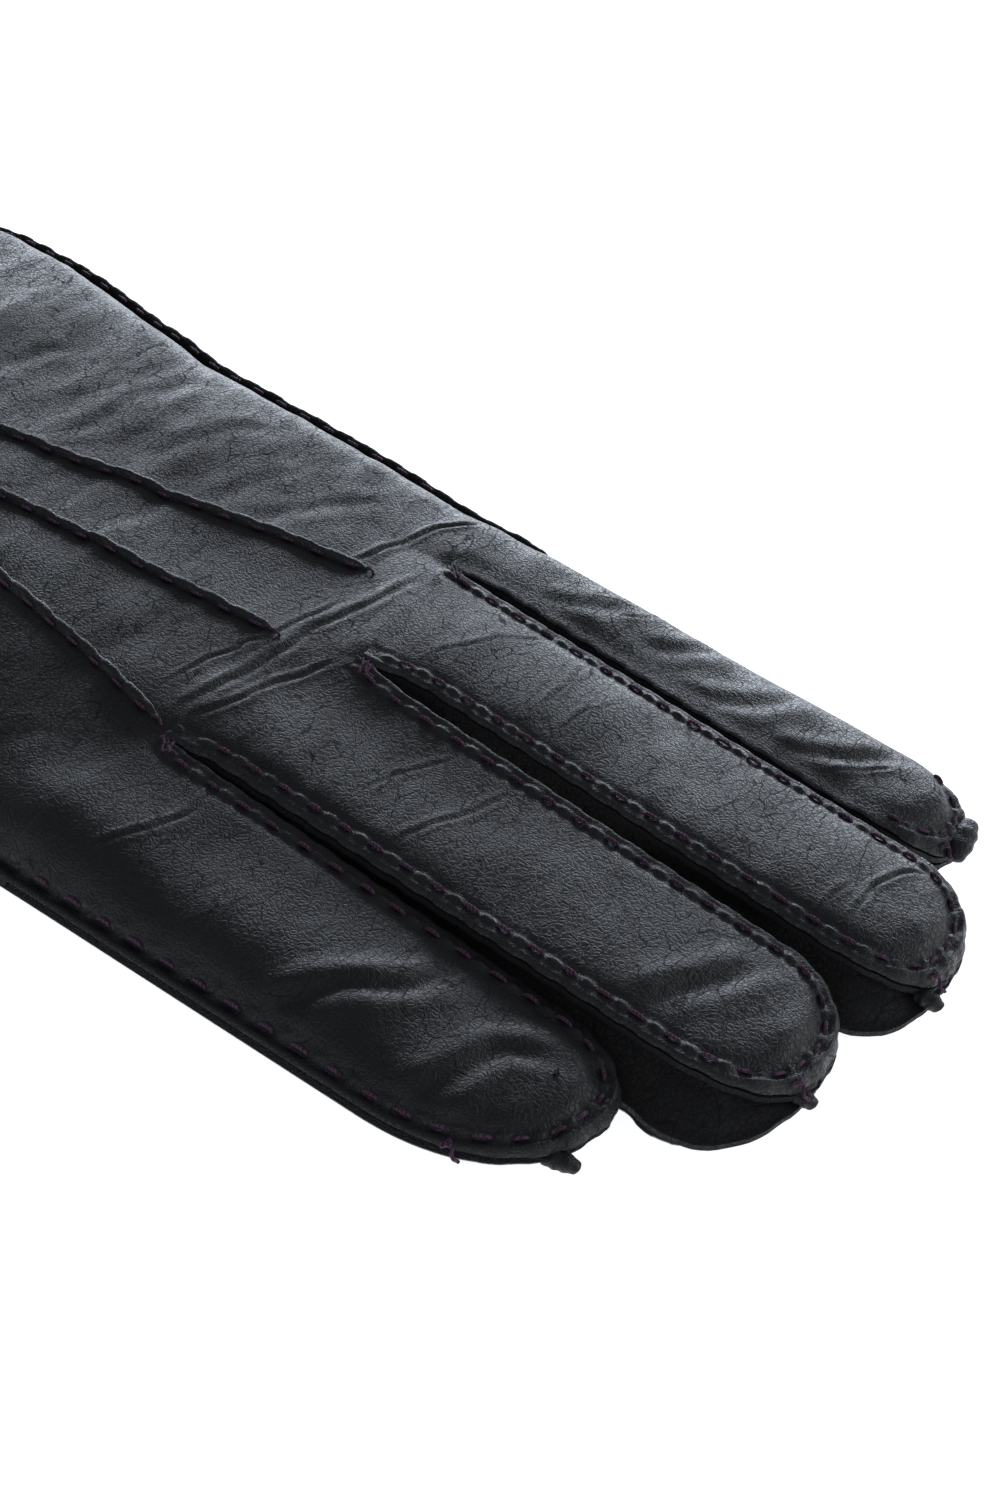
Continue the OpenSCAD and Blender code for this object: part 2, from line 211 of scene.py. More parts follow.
def tube(path, radius, sides=8):
    along, left, up = across(path)
    radius = np.broadcast_to(radius, len(path))
    a = np.arange(sides) * 2 * np.pi / sides
    ring = np.stack([np.cos(a), np.sin(a)], -1)
    return sweep(path, left, up, radius[:, None, None] * ring)


def joined(parts):
    points, faces, n = [], [], 0
    for p, f in parts:
        points.append(np.asarray(p, float))
        faces += [[v + n for v in g] for g in f]
        n += len(p)
    return np.vstack(points), faces


def piece(name, points, faces, look, slot, nodes, sharp=48):
    mesh = bpy.data.meshes.new(name)
    mesh.from_pydata(place(points).tolist(), [], faces)
    mesh.validate()
    mesh.polygons.foreach_set("use_smooth", [True] * len(mesh.polygons))
    mesh.set_sharp_from_angle(angle=math.radians(sharp))
    mesh.materials.append(look)
    obj = bpy.data.objects.new(name, mesh)
    bpy.context.scene.collection.objects.link(obj)
    if nodes:
        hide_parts(*nodes)
    return obj


# ---------------------------------------------------------------- materials
def wire(tree, kind, **inputs):
    """A node with the given settings. A setting that is a socket is linked, other values are set."""
    node = tree.nodes.new(kind)
    for key, value in inputs.items():
        if key.startswith("_"):
            setattr(node, key[1:], value)
            continue
        socket = node.inputs[int(key[1:])] if key[0] == "i" and key[1:].isdigit() else node.inputs[key.replace("_", " ")]
        if isinstance(value, bpy.types.NodeSocket):
            tree.links.new(value, socket)
        else:
            socket.default_value = value
    return node


def ramp(tree, value, stops):
    node = wire(tree, "ShaderNodeMapRange", Value=value, From_Min=stops[0], From_Max=stops[1], To_Min=stops[2], To_Max=stops[3])
    return node.outputs["Result"]


def math_node(tree, what, a, b):
    return wire(tree, "ShaderNodeMath", _operation=what, i0=a, i1=b).outputs[0]


def blank(name, **fixed):
    m = bpy.data.materials.new(name)
    m.use_nodes = True
    tree = m.node_tree
    shader = tree.nodes["Principled BSDF"]
    for key, value in fixed.items():
        shader.inputs[key.replace("_", " ")].default_value = value
    where = wire(tree, "ShaderNodeTexCoord").outputs["Object"]
    mm = wire(tree, "ShaderNodeMapping", Vector=where, Scale=(1000, 1000, 1000)).outputs[0]
    return m, tree, shader, mm


def leather(name, dark, light, rough, grain=1.0, sheen=0.022, worn=(0.03, 0.03, 0.036, 1)):
    """Fine-grained glove leather: pebbles half a millimetre wide, branching cracks and flex lines, with painted shade
    darkening the colour in the grooves between pebbles and in the cracks.
    """
    m, tree, shader, mm = blank(
        name, Sheen_Weight=sheen, Sheen_Roughness=0.45, Sheen_Tint=(0.72, 0.78, 1, 1), Specular_IOR_Level=0.5, IOR=1.46
    )
    warp = wire(tree, "ShaderNodeTexNoise", Vector=mm, Scale=0.32, Detail=3.0)
    bent = wire(tree, "ShaderNodeVectorMath", _operation="SCALE", i0=warp.outputs["Color"], Scale=2.6).outputs[0]
    bent = wire(tree, "ShaderNodeVectorMath", _operation="ADD", i0=mm, i1=bent).outputs[0]
    pebble = wire(tree, "ShaderNodeTexVoronoi", Vector=bent, _feature="DISTANCE_TO_EDGE", Scale=1.5)
    pebbles = ramp(tree, pebble.outputs["Distance"], (0.0, 0.2, 0.0, 1.0))
    bent = wire(tree, "ShaderNodeVectorMath", _operation="SCALE", i0=warp.outputs["Color"], Scale=1.7).outputs[0]
    bent = wire(tree, "ShaderNodeVectorMath", _operation="ADD", i0=mm, i1=bent).outputs[0]
    flat = wire(tree, "ShaderNodeMapping", Vector=bent, Scale=(0.5, 0.14, 0.4), Rotation=(0, 0, 0.14)).outputs[0]
    crack = wire(tree, "ShaderNodeTexVoronoi", Vector=flat, _feature="DISTANCE_TO_EDGE", Scale=1.0)
    cracks = ramp(tree, crack.outputs["Distance"], (0.0, 0.036, 0.0, 1.0))
    patch = wire(tree, "ShaderNodeTexNoise", Vector=mm, Scale=0.07, Detail=3.0).outputs["Fac"]
    where_cracked = ramp(tree, patch, (0.36, 0.62, 0.35, 0.9))
    cracks = math_node(tree, "MULTIPLY", math_node(tree, "SUBTRACT", 1.0, cracks), where_cracked)
    flex = wire(tree, "ShaderNodeMapping", Vector=mm, Scale=(0.5, 0.13, 0.4), Rotation=(0, 0, 0.15)).outputs[0]
    flexes = wire(tree, "ShaderNodeTexNoise", Vector=flex, Scale=1.0, Detail=3.0, Distortion=0.8).outputs["Fac"]
    pores = wire(tree, "ShaderNodeTexNoise", Vector=mm, Scale=4.0, Detail=2.0).outputs["Fac"]
    height = math_node(tree, "SUBTRACT", math_node(tree, "MULTIPLY", pebbles, 0.95), math_node(tree, "MULTIPLY", cracks, 0.65))
    height = math_node(tree, "ADD", height, math_node(tree, "MULTIPLY", pores, 0.25))
    height = math_node(tree, "ADD", height, math_node(tree, "MULTIPLY", flexes, 1.6))
    bump = wire(tree, "ShaderNodeBump", Height=height, Strength=1.0, Distance=0.00004 * grain)
    tree.links.new(bump.outputs[0], shader.inputs["Normal"])
    tone = wire(tree, "ShaderNodeMix", _data_type="RGBA", Factor=patch)
    tone.inputs["A"].default_value, tone.inputs["B"].default_value = dark, light
    # Painted shade: the grooves between pebbles, and the cracks at half strength, pull the base colour towards near
    # black (0.0015) as shade in these recesses.
    groove_shade = ramp(tree, pebbles, (0.0, 0.6, 0.5, 0.0))
    lines = wire(tree, "ShaderNodeMix", _data_type="RGBA", Factor=math_node(tree, "MAXIMUM", math_node(tree, "MULTIPLY", cracks, 0.5), groove_shade))
    tree.links.new(tone.outputs["Result"], lines.inputs["A"])
    lines.inputs["B"].default_value = (0.0015, 0.0015, 0.002, 1)
    edge = wire(tree, "ShaderNodeNewGeometry").outputs["Pointiness"]
    wear = math_node(tree, "MULTIPLY", ramp(tree, edge, (0.515, 0.6, 0.0, 0.8)), pores)
    last = wire(tree, "ShaderNodeMix", _data_type="RGBA", Factor=wear)
    tree.links.new(lines.outputs["Result"], last.inputs["A"])
    last.inputs["B"].default_value = worn
    tree.links.new(last.outputs["Result"], shader.inputs["Base Color"])
    gloss = math_node(tree, "ADD", ramp(tree, pebbles, (0, 1, rough + 0.25, rough)), ramp(tree, patch, (0.3, 0.7, -0.04, 0.05)))
    gloss = math_node(tree, "ADD", gloss, math_node(tree, "MULTIPLY", cracks, 0.45))
    tree.links.new(gloss, shader.inputs["Roughness"])
    return m


def thread_look(name, dark, light):
    """Twisted thread: slanting plies and a fine fuzz."""
    m, tree, shader, mm = blank(name, Sheen_Weight=0.08, Sheen_Roughness=0.6, Specular_IOR_Level=0.15)
    turned = wire(tree, "ShaderNodeMapping", Vector=mm, Rotation=(0.6, 0.5, 0.75)).outputs[0]
    ply = wire(tree, "ShaderNodeTexWave", Vector=turned, Scale=1.1, Distortion=1.5, Detail=2.0)
    fuzz = wire(tree, "ShaderNodeTexNoise", Vector=mm, Scale=7.0, Detail=3.0).outputs["Fac"]
    tone = wire(tree, "ShaderNodeMix", _data_type="RGBA", Factor=math_node(tree, "MULTIPLY", ply.outputs["Fac"], fuzz))
    tone.inputs["A"].default_value, tone.inputs["B"].default_value = dark, light
    tree.links.new(tone.outputs["Result"], shader.inputs["Base Color"])
    tree.links.new(ramp(tree, fuzz, (0.3, 0.7, 0.55, 0.8)), shader.inputs["Roughness"])
    height = math_node(tree, "ADD", ply.outputs["Fac"], fuzz)
    bump = wire(tree, "ShaderNodeBump", Height=height, Strength=0.9, Distance=0.00008)
    tree.links.new(bump.outputs[0], shader.inputs["Normal"])
    return m


def knit_look(name):
    """Fine ribbed knit for the linings."""
    m, tree, shader, mm = blank(name, Sheen_Weight=0.5, Sheen_Roughness=0.5, Specular_IOR_Level=0.2)
    rib = wire(tree, "ShaderNodeTexWave", Vector=mm, _bands_direction="Y", Scale=0.42, Distortion=0.6, Detail=1.0)
    loop = wire(tree, "ShaderNodeTexWave", Vector=mm, _bands_direction="X", Scale=0.6, Distortion=1.2, Detail=1.0)
    fuzz = wire(tree, "ShaderNodeTexNoise", Vector=mm, Scale=4.0, Detail=3.0).outputs["Fac"]
    stitch = math_node(tree, "MULTIPLY", rib.outputs["Fac"], loop.outputs["Fac"])
    tone = wire(tree, "ShaderNodeMix", _data_type="RGBA", Factor=math_node(tree, "MULTIPLY", stitch, fuzz))
    tone.inputs["A"].default_value, tone.inputs["B"].default_value = (0.02, 0.02, 0.024, 1), (0.11, 0.11, 0.125, 1)
    tree.links.new(tone.outputs["Result"], shader.inputs["Base Color"])
    tree.links.new(ramp(tree, fuzz, (0.3, 0.7, 0.8, 0.95)), shader.inputs["Roughness"])
    bump = wire(tree, "ShaderNodeBump", Height=math_node(tree, "ADD", stitch, fuzz), Strength=1.0, Distance=0.0003)
    tree.links.new(bump.outputs[0], shader.inputs["Normal"])
    return m


HIDE = leather("black_glove_leather", (0.0034, 0.0034, 0.0045, 1), (0.007, 0.007, 0.009, 1), 0.37)
# Painted shade: a copy of the glove leather with darker base, tone and worn colours and less sheen, for the fourchette
# walls and the thumb hole's standing welt that stand in shadow. It is also rougher.
SHADE_DARKENED_LEATHER = leather("black_fork_leather", (0.0025, 0.0025, 0.003, 1), (0.005, 0.005, 0.006, 1), 0.66, 0.8, 0.01, (0.012, 0.012, 0.015, 1))
THREAD = thread_look("plum_thread", (0.03, 0.012, 0.028, 1), (0.2, 0.085, 0.18, 1))
KNIT = knit_look("charcoal_knit")


# ---------------------------------------------------------------- the glove's lines, seen from above
NEAR = (-12.2, -52.3)  # where the little finger's outer seam passes its root line
FORK_LR = (-10.0, -26.4)  # the forks between little, ring, middle and index
FORK_RM = (-0.5, 0.9)
FORK_MI = (-5.0, 27.7)
FAR = (-6.0, 46.6)  # where the index finger's fold passes its root line
Z_LR, Z_RM, Z_MI = 11.3, 14.8, 15.5
SEAM_Z = 3.5  # the top of the near seam's flange
CUFF_X = -160.0

near_edge = spline([(-160, -46), (-122, -43.8), (-85, -46), (-45, -49.3), (-24, -51.4), (-12.2, -52.3)])
far_edge = spline(
    [(-160, 49.5), (-138, 58), (-114, 61.8), (-90, 57.5), (-65, 50.8), (-45, 48.7), (-24, 47.3), (-6, 46.6)]
)
hand_top = spline([(-160, 12), (-130, 18), (-100, 19.4), (-60, 18.5), (-18, 16.6), (0, 15.2)])
V_LR, V_RM, V_MI = ((p[1] - NEAR[1]) / (FAR[1] - NEAR[1]) for p in (FORK_LR, FORK_RM, FORK_MI))
front_x = lambda v: np.interp(v, [0, V_LR, V_RM, V_MI, 1], [NEAR[0], FORK_LR[0], FORK_RM[0], FORK_MI[0], FAR[0]])
across_body = spline([(0, 0.42), (0.1, 0.53), (0.2, 0.64), (0.3, 0.75), (0.42, 0.825), (0.5, 0.85), (0.6, 0.86), (0.68, 0.88), (0.78, 0.93), (0.88, 0.965), (1, 0.965)])


class Finger:
    def __init__(self, name, root, length, widths, splay, near, far, z_near, z_far, crest, tip_z, styles, tips, apex, flare):
        self.name, self.length, self.widths = name, length, widths
        self.tip_long = {-1: tips[0], 1: tips[1]}  # where the rounding of each side begins, from the tip
        self.drop = {-1: 0.0, 1: 0.3 if name == "middle" else 0.0}
        self.apex = apex  # how far the tip lies off the middle, to the thumb side
        self.flare = flare  # how far the palm's near welt stands out past the back's, near the tip
        self.root = np.array(root, float)
        a = math.radians(splay)
        self.along, self.across = np.array([math.cos(a), math.sin(a)]), np.array([-math.sin(a), math.cos(a)])
        self.corner = {-1: np.array(near), 1: np.array(far)}
        self.z_root = {-1: z_near[0], 1: z_far[0]}
        self.z_end = {-1: z_near[1], 1: z_far[1]}
        self.crest = crest  # heights of the middle of the back: at the root, before the tip, at the tip
        self.tip_z = tip_z
        self.style = {-1: styles[0], 1: styles[1]}
        self.body = name + "_finger"
        self.steps = {}
        for side in (-1, 1):
            p = np.linspace(0, 2, 1200)
            xy = self.outline(side, p)
            s = np.concatenate([[0], np.cumsum(np.linalg.norm(np.diff(xy, axis=0), axis=1))])
            self.steps[side] = (p, s[-1] - s)

    def local(self, xy):
        d = np.asarray(xy) - self.root
        return d @ self.along, d @ self.across

    def plan(self, t, b):
        return self.root + np.multiply.outer(t, self.along) + np.multiply.outer(b, self.across)

    def half(self, t):
        return lerp(self.widths[0], self.widths[1], t / self.length) / 2

    def outline(self, side, p, palm=False):
        """The edge of the leather: p runs 0 to 1 along the side and 1 to 2 round to the tip."""
        p = np.asarray(p, float)
        tc, bc = self.local(self.corner[side])
        end = self.length - self.tip_long[side]
        t = lerp(tc, end, np.clip(p, 0, 1))
        b = side * self.half(t)
        b = b + (bc - b) * (1 - ease((t - tc) / 9))
        phi = np.clip(p - 1, 0, 1) * np.pi / 2
        t = t + self.tip_long[side] * np.sin(phi) ** 0.9
        b = b * np.cos(phi) ** 0.9 + self.apex * (1 - np.cos(phi))
        if palm:
            b = b + side * self.flare[(side + 1) // 2] * hill(p - 1.25, 0.48) * np.cos(phi) ** 0.5
        return self.plan(t, b)

    def middle(self, p):
        p = np.asarray(p, float)
        tm, bm = self.local((self.corner[-1] + self.corner[1]) / 2)
        t = lerp(tm, self.length - TIP, np.clip(p, 0, 1))
        b = bm * (1 - ease((t - tm) / 12)) + self.apex * ease(p - 1)
        return self.plan(t + 6.8 * np.sin(np.clip(p - 1, 0, 1) * np.pi / 2), b)

    def run(self, side, p):
        """Millimetres along the edge from the tip."""
        return np.interp(p, *self.steps[side])

    def at_run(self, side, s):
        p, run = self.steps[side]
        return np.interp(s, run[::-1], p[::-1])

    def edge_z(self, side, p, palm=False):
        phi = np.clip(np.asarray(p) - 1, 0, 1) * np.pi / 2
        q = np.clip(p, 0, 1)
        if palm:
            root = palm_height(*(self.corner[side][k] for k in (0, 1))) + 1.0
            end, tip = 1.3, 2.4
            if self.style[side] == "fold":
                return self.edge_z(side, p)
            if self.style[side] == "seam":
                return lerp(SEAM_Z - 1.85, tip, np.sin(phi) ** 2)
            z = lerp(root, end, ease(q * 4))
        else:
            z, tip = lerp(self.z_root[side], self.z_end[side], q) - self.drop[side] * ease(q * 9), self.tip_z
            end = self.z_end[side]
        return lerp(z, tip, np.sin(phi) ** 2)

    def crest_z(self, p, palm=False):
        phi = np.clip(np.asarray(p) - 1, 0, 1) * np.pi / 2
        q = np.clip(p, 0, 1)
        if palm:
            mid = (self.corner[-1] + self.corner[1]) / 2
            return lerp(lerp(palm_height(mid[0], mid[1]), 0.3, ease(q * 4)), 0.9, np.sin(phi) ** 2)
        z = lerp(self.crest[0], self.crest[1], q) + 0.25 * hill(q - 0.86, 0.12)
        return lerp(z, self.crest[2], ease(np.sin(phi)))

    def skin(self, side, p, d, palm=False):
        """Points of the outer surface at d millimetres in from the edge."""
        p, d = np.broadcast_arrays(np.asarray(p, float), np.asarray(d, float))
        s = self.run(side, p)
        edge, mid = self.outline(side, p, palm), self.middle(p)
        width = np.linalg.norm(mid - edge, axis=-1)
        inward = (mid - edge) / np.maximum(width, 1e-6)[..., None]
        r = np.clip(d / width, 0, 1)
        tip = ease(p - 1)
        welted = 1.0 if self.style[side] in ("welt", "roll") else ease((p - 1.15) / 0.6)
        shape = lerp(flank(self.style[side], d, width), flank("welt", d, width), tip)
        low, high = self.edge_z(side, p, palm), self.crest_z(p, palm)
        pull = stitch_pull(s)
        xy = edge + inward * (np.minimum(d, width) - (0.22 * (1 - pull) - 0.08) * welted * np.clip(1 - d / 1.2, 0, 1))[..., None]
        z = low + (high - low) * shape
        flange = welted if self.style[side] != "seam" else 1.0
        up = -1 if palm else 1
        hidden = self.name == "index" and side < 0 and not palm  # its stitches lie out of sight on top
        plain = ease((s - 9) / 4) if hidden else 0.0
        z = z + up * rim(d, s, 1 - plain) * flange * (1 - 0.8 * plain)
        if not palm:
            round_tip = ease((p - 1.25) / 0.4) * (0.6 if self.style[side] == "seam" else 1.0)
            z = z + round_tip * (0.75 * (1 - 0.3 * pull) * hill(d - 0.75, 0.55) - 0.35 * hill(d - 2.5, 0.8))
        calm = ease((d - 1.6) / 3.5)
        z = z + up * (0.45 if palm else 1.0) * calm * relief(xy[..., 0], xy[..., 1], palm)
        return np.concatenate([xy, z[..., None]], -1)


def flank(style, d, width):
    """How high the leather stands at d from its edge, from 0 at the edge to 1 in the middle."""
    r = np.clip(d / width, 0, 1)
    if style == "seam":
        r = np.clip((d - 1.8) / np.maximum(width - 1.8, 1e-6), 0, 1)
        return (1 - (1 - r) ** 2.8) ** 0.6
    if style == "fold":
        return (1 - (1 - r) ** 2.6) ** 0.5
    if style == "roll":
        return (1 - (1 - r) ** 2.6) ** 0.72
    return 1 - (1 - r) ** 2.3


def stitch_pull(s):
    """1 where a stitch holds the leather down, 0 between stitches."""
    return ease((STITCH / 2 + 0.3 - np.abs(np.mod(s, PITCH) - PITCH / 2)) / 0.7)


def rim(d, s, sewn=1.0):
    """The raised edge outside a row of prick stitches, and the puffs between the stitches."""
    bead = hill(np.mod(s + PITCH / 2, PITCH) - PITCH / 2, 1.0) * sewn
    z = 0.12 * hill(d - 0.6, 0.4) - 0.14 * hill(d - 2.7, 0.5) * sewn - 0.1 * hill(d - GROOVE, 0.7) * sewn
    z = z + 0.52 * bead * hill(d - GROOVE, 0.55)
    return z - 0.35 * np.clip(1 - d / 0.35, 0, 1) ** 2


# Creases as depth, width, ridge height and the line they follow.
CREASES = [
    (0.36, 0.95, 0.5, [(-11.4, -25), (-10.2, -17), (-9.2, -8), (-8.2, 4), (-7, 10), (-6.2, 17), (-5.2, 25)]),
    (0.36, 0.7, 0.35, [(-9.2, -23.5), (-7.6, -19), (-6.2, -13), (-4.3, -6), (-2.1, 0)]),
    (0.3, 0.55, 0.25, [(-15.5, -21), (-14.4, -12), (-12.6, -5), (-11, 4), (-9.5, 12)]),
    (0.35, 0.5, 0.4, [(-63, 13), (-61, 21), (-61, 29), (-60, 34), (-57, 43)]),
    (0.25, 0.45, 0.3, [(-31, 15), (-28, 22), (-24, 29), (-20, 35)]),
    (0.22, 0.45, 0.25, [(-37, 14), (-36, 22), (-35, 26), (-32, 33)]),
    (0.4, 0.6, 0.5, [(-15, 18), (-13, 27), (-11, 35), (-7, 42)]),
    (0.3, 0.5, 0.3, [(-50, 17), (-48, 27), (-46, 33), (-41, 38)]),
    (0.3, 0.5, 0.3, [(-80, 16), (-80, 28), (-77, 36)]),
    (0.3, 0.5, 0.35, [(-96, 18), (-94, 30), (-95, 41)]),
    (0.25, 0.5, 0.2, [(-26, -48), (-24, -40), (-20, -33)]),
    (0.3, 0.6, 0.3, [(-4, -47), (-1, -41), (1, -35), (0, -29)]),
    (0.3, 0.5, 0.25, [(5, 6), (7, 12), (11, 20), (15, 25)]),
    (0.35, 0.45, 0.3, [(23, 6), (21.5, 11), (21, 17), (20, 25)]),
    (0.25, 0.4, 0.2, [(25, 7), (26, 13), (28.5, 20)]),
    (0.2, 0.5, 0.2, [(14, -19), (15.5, -12), (19, -5)]),
    (0.25, 0.6, 0.2, [(21.5, -26), (23.5, -18), (26, -12), (27, -5)]),
    (0.45, 0.5, 0.35, [(71, 0), (69, 5), (68.5, 11), (70, 18), (74, 22)]),
    (0.3, 0.45, 0.3, [(66, 1), (65.5, 6), (66.5, 11)]),
    (0.12, 1.4, 0.3, [(7, 31), (12, 34), (19, 41)]),
    (0.14, 1.2, 0.3, [(23, 33), (27, 37), (33, 47)]),
    (0.16, 1.4, 0.35, [(31, 28), (38, 33), (42, 38), (44, 45)]),
    (0.2, 1.2, 0.35, [(45, 28), (50, 31), (57, 38), (60, 44)]),
    (0.3, 0.5, 0.3, [(17, 36), (20, 40), (21, 46)]),
    (0.35, 0.5, 0.3, [(53, 29), (56, 33), (60, 38)]),
    (0.3, 1.3, 0.55, [(25, -53), (30, -46), (36, -40), (38, -34)]),
    (0.3, 1.3, 0.55, [(44, -54), (47, -48), (49, -41), (55, -37)]),
    (0.3, 1.4, 0.5, [(58, -26), (60, -20), (63, -14), (64, -8)]),
]
PLEATS = []


def scatter_creases():
    """Short flex lines across the hand and fingers, always the same ones."""
    luck = np.random.default_rng(11)
    for _ in range(70):
        x, y = luck.uniform(-125, 74), luck.uniform(-50, 46)
        long, turn = luck.uniform(5, 17), luck.normal(0.12, 0.28)
        bow = luck.uniform(-0.14, 0.14)
        t = np.linspace(-0.5, 0.5, 5)
        line = np.stack([x + t * long * math.sin(turn) + bow * long * (t * t * 4), y + t * long * math.cos(turn)], 1)
        CREASES.append((luck.uniform(0.05, 0.15), luck.uniform(0.35, 0.5), luck.uniform(0.03, 0.12), line))
    for k, (depth, width, ridge, line) in enumerate(CREASES):
        line = smooth_path(line, 40)
        bend = noise(line[:, 1] / 3.1, line[:, 0] / 4.0 + k * 5.7, 77) * 0.4 + noise(line[:, 1] / 1.4, line[:, 0] / 2.0, 79) * 0.14
        line[:, 0] += bend * np.sin(np.linspace(0, np.pi, 40))
        if line[:, 0].mean() < -16:  # the hand's folds are softer than the fingers'
            depth, width, ridge = 0.38 * depth, 2.9 * width, 0.5 * ridge
        broad = width > 1
        PLEATS.append((depth if broad else 0.5 * depth, width if broad else 0.6 * width, ridge * (1 if broad else 0.6), line))


scatter_creases()


def relief(x, y, palm=False):
    """Folds, sags and creases of the worn-in leather, as a height."""
    seed = 40 if palm else 3
    wavy = 0.17 + 0.1 * ease((-14 - x) / 12)
    z = 0.42 * clouds(x * 1.25, y * 0.8, 24, seed) + wavy * clouds(x * 1.5 + y * 0.25, y * 0.55, 7.5, seed + 5)
    if palm:
        return z
    flat = z.reshape(-1)
    fx, fy = np.asarray(x, float).reshape(-1), np.asarray(y, float).reshape(-1)
    for depth, width, ridge, line in PLEATS:
        reach = 4.5 * width + 1.5
        low, high = line.min(0) - reach, line.max(0) + reach
        near = np.nonzero((fx > low[0]) & (fx < high[0]) & (fy > low[1]) & (fy < high[1]))[0]
        if not len(near):
            continue
        p = np.stack([fx[near], fy[near]], 1)
        a, step = line[:-1], np.diff(line, axis=0)
        rel = p[:, None] - a[None]
        t = np.clip((rel * step).sum(-1) / (step**2).sum(-1), 0, 1)
        off = rel - t[..., None] * step
        dist = np.linalg.norm(off, axis=-1)
        k = dist.argmin(1)
        rows = np.arange(len(p))
        far = dist[rows, k]
        sign = np.sign(step[k, 0] * off[rows, k, 1] - step[k, 1] * off[rows, k, 0])
        u = (k + t[rows, k]) / len(step)
        fade = ease(u * 5) * ease((1 - u) * 5)
        d = far * sign
        flat[near] += fade * (ridge * hill(d - 1.9 * width, 1.4 * width) + 0.7 * ridge * hill(d + 1.9 * width, 1.4 * width) - depth * hill(d, width))
    return flat.reshape(z.shape)


def palm_height(x, y):
    """The outer surface of the palm: nearly flat, and raised over the folded thumb."""
    roof = np.interp(x, [-88, -9], [8.4, 6.0])
    return lerp(0.35, roof, ease((np.asarray(y) - 12) / 11) * ease((np.asarray(x) + 130) / 15))


TIP = 14.0
FINGERS = [
    Finger("little", (-11, -39.45), 73, (25.7, 26.4), -2.5, NEAR, FORK_LR, (SEAM_Z, SEAM_Z), (Z_LR, 5.9), (9.9, 6.6, 6.3), 3.6,
           ("seam", "welt"), (21, 14), 3.2, (0, 0)),
    Finger("ring", (0, -13), 77, (25.6, 26.2), -3, FORK_LR, FORK_RM, (Z_LR, 8.0), (Z_RM, 8.2), (13.0, 8.7, 8.4), 4.8,
           ("welt", "welt"), (13.5, 14), -0.3, (6.6, 0.8)),
    Finger("middle", (0, 15.2), 81.2, (24.8, 25.0), -2.5, FORK_RM, FORK_MI, (Z_RM, 8.6), (Z_MI, 8.8), (15.7, 9.8, 9.5), 5.0,
           ("welt", "welt"), (11.5, 14), -1.6, (6.0, 0.8)),
    Finger("index", (-5, 38.0), 76.4, (17.4, 20.8), -1.7, FORK_MI, FAR, (Z_MI, 9.5), (7.2, 5.7), (15.8, 9.8, 9.4), 4.4,
           ("roll", "fold"), (14, 14), 0.0, (0, 0)),
]
BY_NAME = {f.name: f for f in FINGERS}
SPANS = [(0, V_LR), (V_LR, V_RM), (V_RM, V_MI), (V_MI, 1)]


# ---------------------------------------------------------------- the hand's surfaces
def hand_y(x, v):
    return lerp(near_edge(x), far_edge(x), v)


def fold_z(x):
    bed = ease((x + 130) / 15)
    return lerp(0.42 * hand_top(x), lerp(9.6, 7.2, ease((x + 40) / 34)), bed)


def near_run(x):
    """Millimetres along the near seam from the little finger's tip."""
    return BY_NAME["little"].run(-1, 0.0) + (NEAR[0] - x)


def back_height(x, v):
    y = hand_y(x, v)
    span = far_edge(x) - near_edge(x)
    d, e = v * span, (1 - v) * span
    dome = hand_top(x) * across_body(v)
    dome = SEAM_Z + (dome - SEAM_Z) * flank("seam", np.minimum(d, 17), 17)
    dome = fold_z(x) + (dome - fold_z(x)) * flank("fold", np.minimum(e, 8.5), 8.5)
    knuckles = np.zeros_like(dome)
    for f, (a, b) in zip(FINGERS, SPANS):
        q = (v - a) / (b - a) * 2 - 1
        for side in (-1, 1):
            here = (q * side >= 0) & (q * side <= 1)
            width = np.linalg.norm(f.middle(0.0) - f.outline(side, 0.0))
            part = f.z_root[side] + (f.crest[0] - f.z_root[side]) * flank(f.style[side], (1 - np.abs(q)) * width, width)
            knuckles = np.where(here, part, knuckles)
    w = ease((x - front_x(v) + 16) / 16)
    z = lerp(dome, knuckles, w) + rim(d, near_run(x))
    calm = ease((d - 1.6) / 3.5) * ease((e + 1) / 5)
    for fork in (FORK_LR, FORK_RM, FORK_MI):
        away = np.hypot(x - fork[0], y - fork[1])
        calm = calm * ease((away - 0.8) / 2.2)
        z = z - 0.35 * hill(away, 1.7)
    for v_fork in (V_LR, V_RM, V_MI):
        calm = calm * (1 - w * hill((v - v_fork) * 100, 3.0) * 0.999)
    return z + calm * relief(x, y)


def even(values, step=3):
    """The same sorted values with a few more put in the widest gaps, so that a step divides them."""
    values = list(values)
    while (len(values) - 1) % step:
        k = int(np.argmax(np.diff(values)))
        values.insert(k + 1, (values[k] + values[k + 1]) / 2)
    return np.array(values)


def grid_shell(rows, thick, step=3):
    """A closed solid from a grid of points, with a coarser inner side."""
    n, m = rows.shape[:2]
    index = np.arange(n * m).reshape(n, m)
    outer = rows.reshape(-1, 3)
    inward = outer - vertex_normals(outer, quads(index)) * thick
    coarse = index[::step, ::step]
    number = np.arange(coarse.size).reshape(coarse.shape) + n * m
    points = np.vstack([outer, inward[coarse.reshape(-1)]])
    faces = quads(index).tolist() + quads(number)[:, ::-1].tolist()
    sides = (
        (index[0], number[0], False),
        (index[-1], number[-1], True),
        (index[:, 0], number[:, 0], True),
        (index[:, -1], number[:, -1], False),
    )
    for line, inner_line, turn in sides:
        for k in range(len(inner_line) - 1):
            ring = [int(inner_line[k + 1]), int(inner_line[k])] + line[k * step : (k + 1) * step + 1].tolist()
            faces.append(ring[::-1] if turn else ring)
    return points, faces


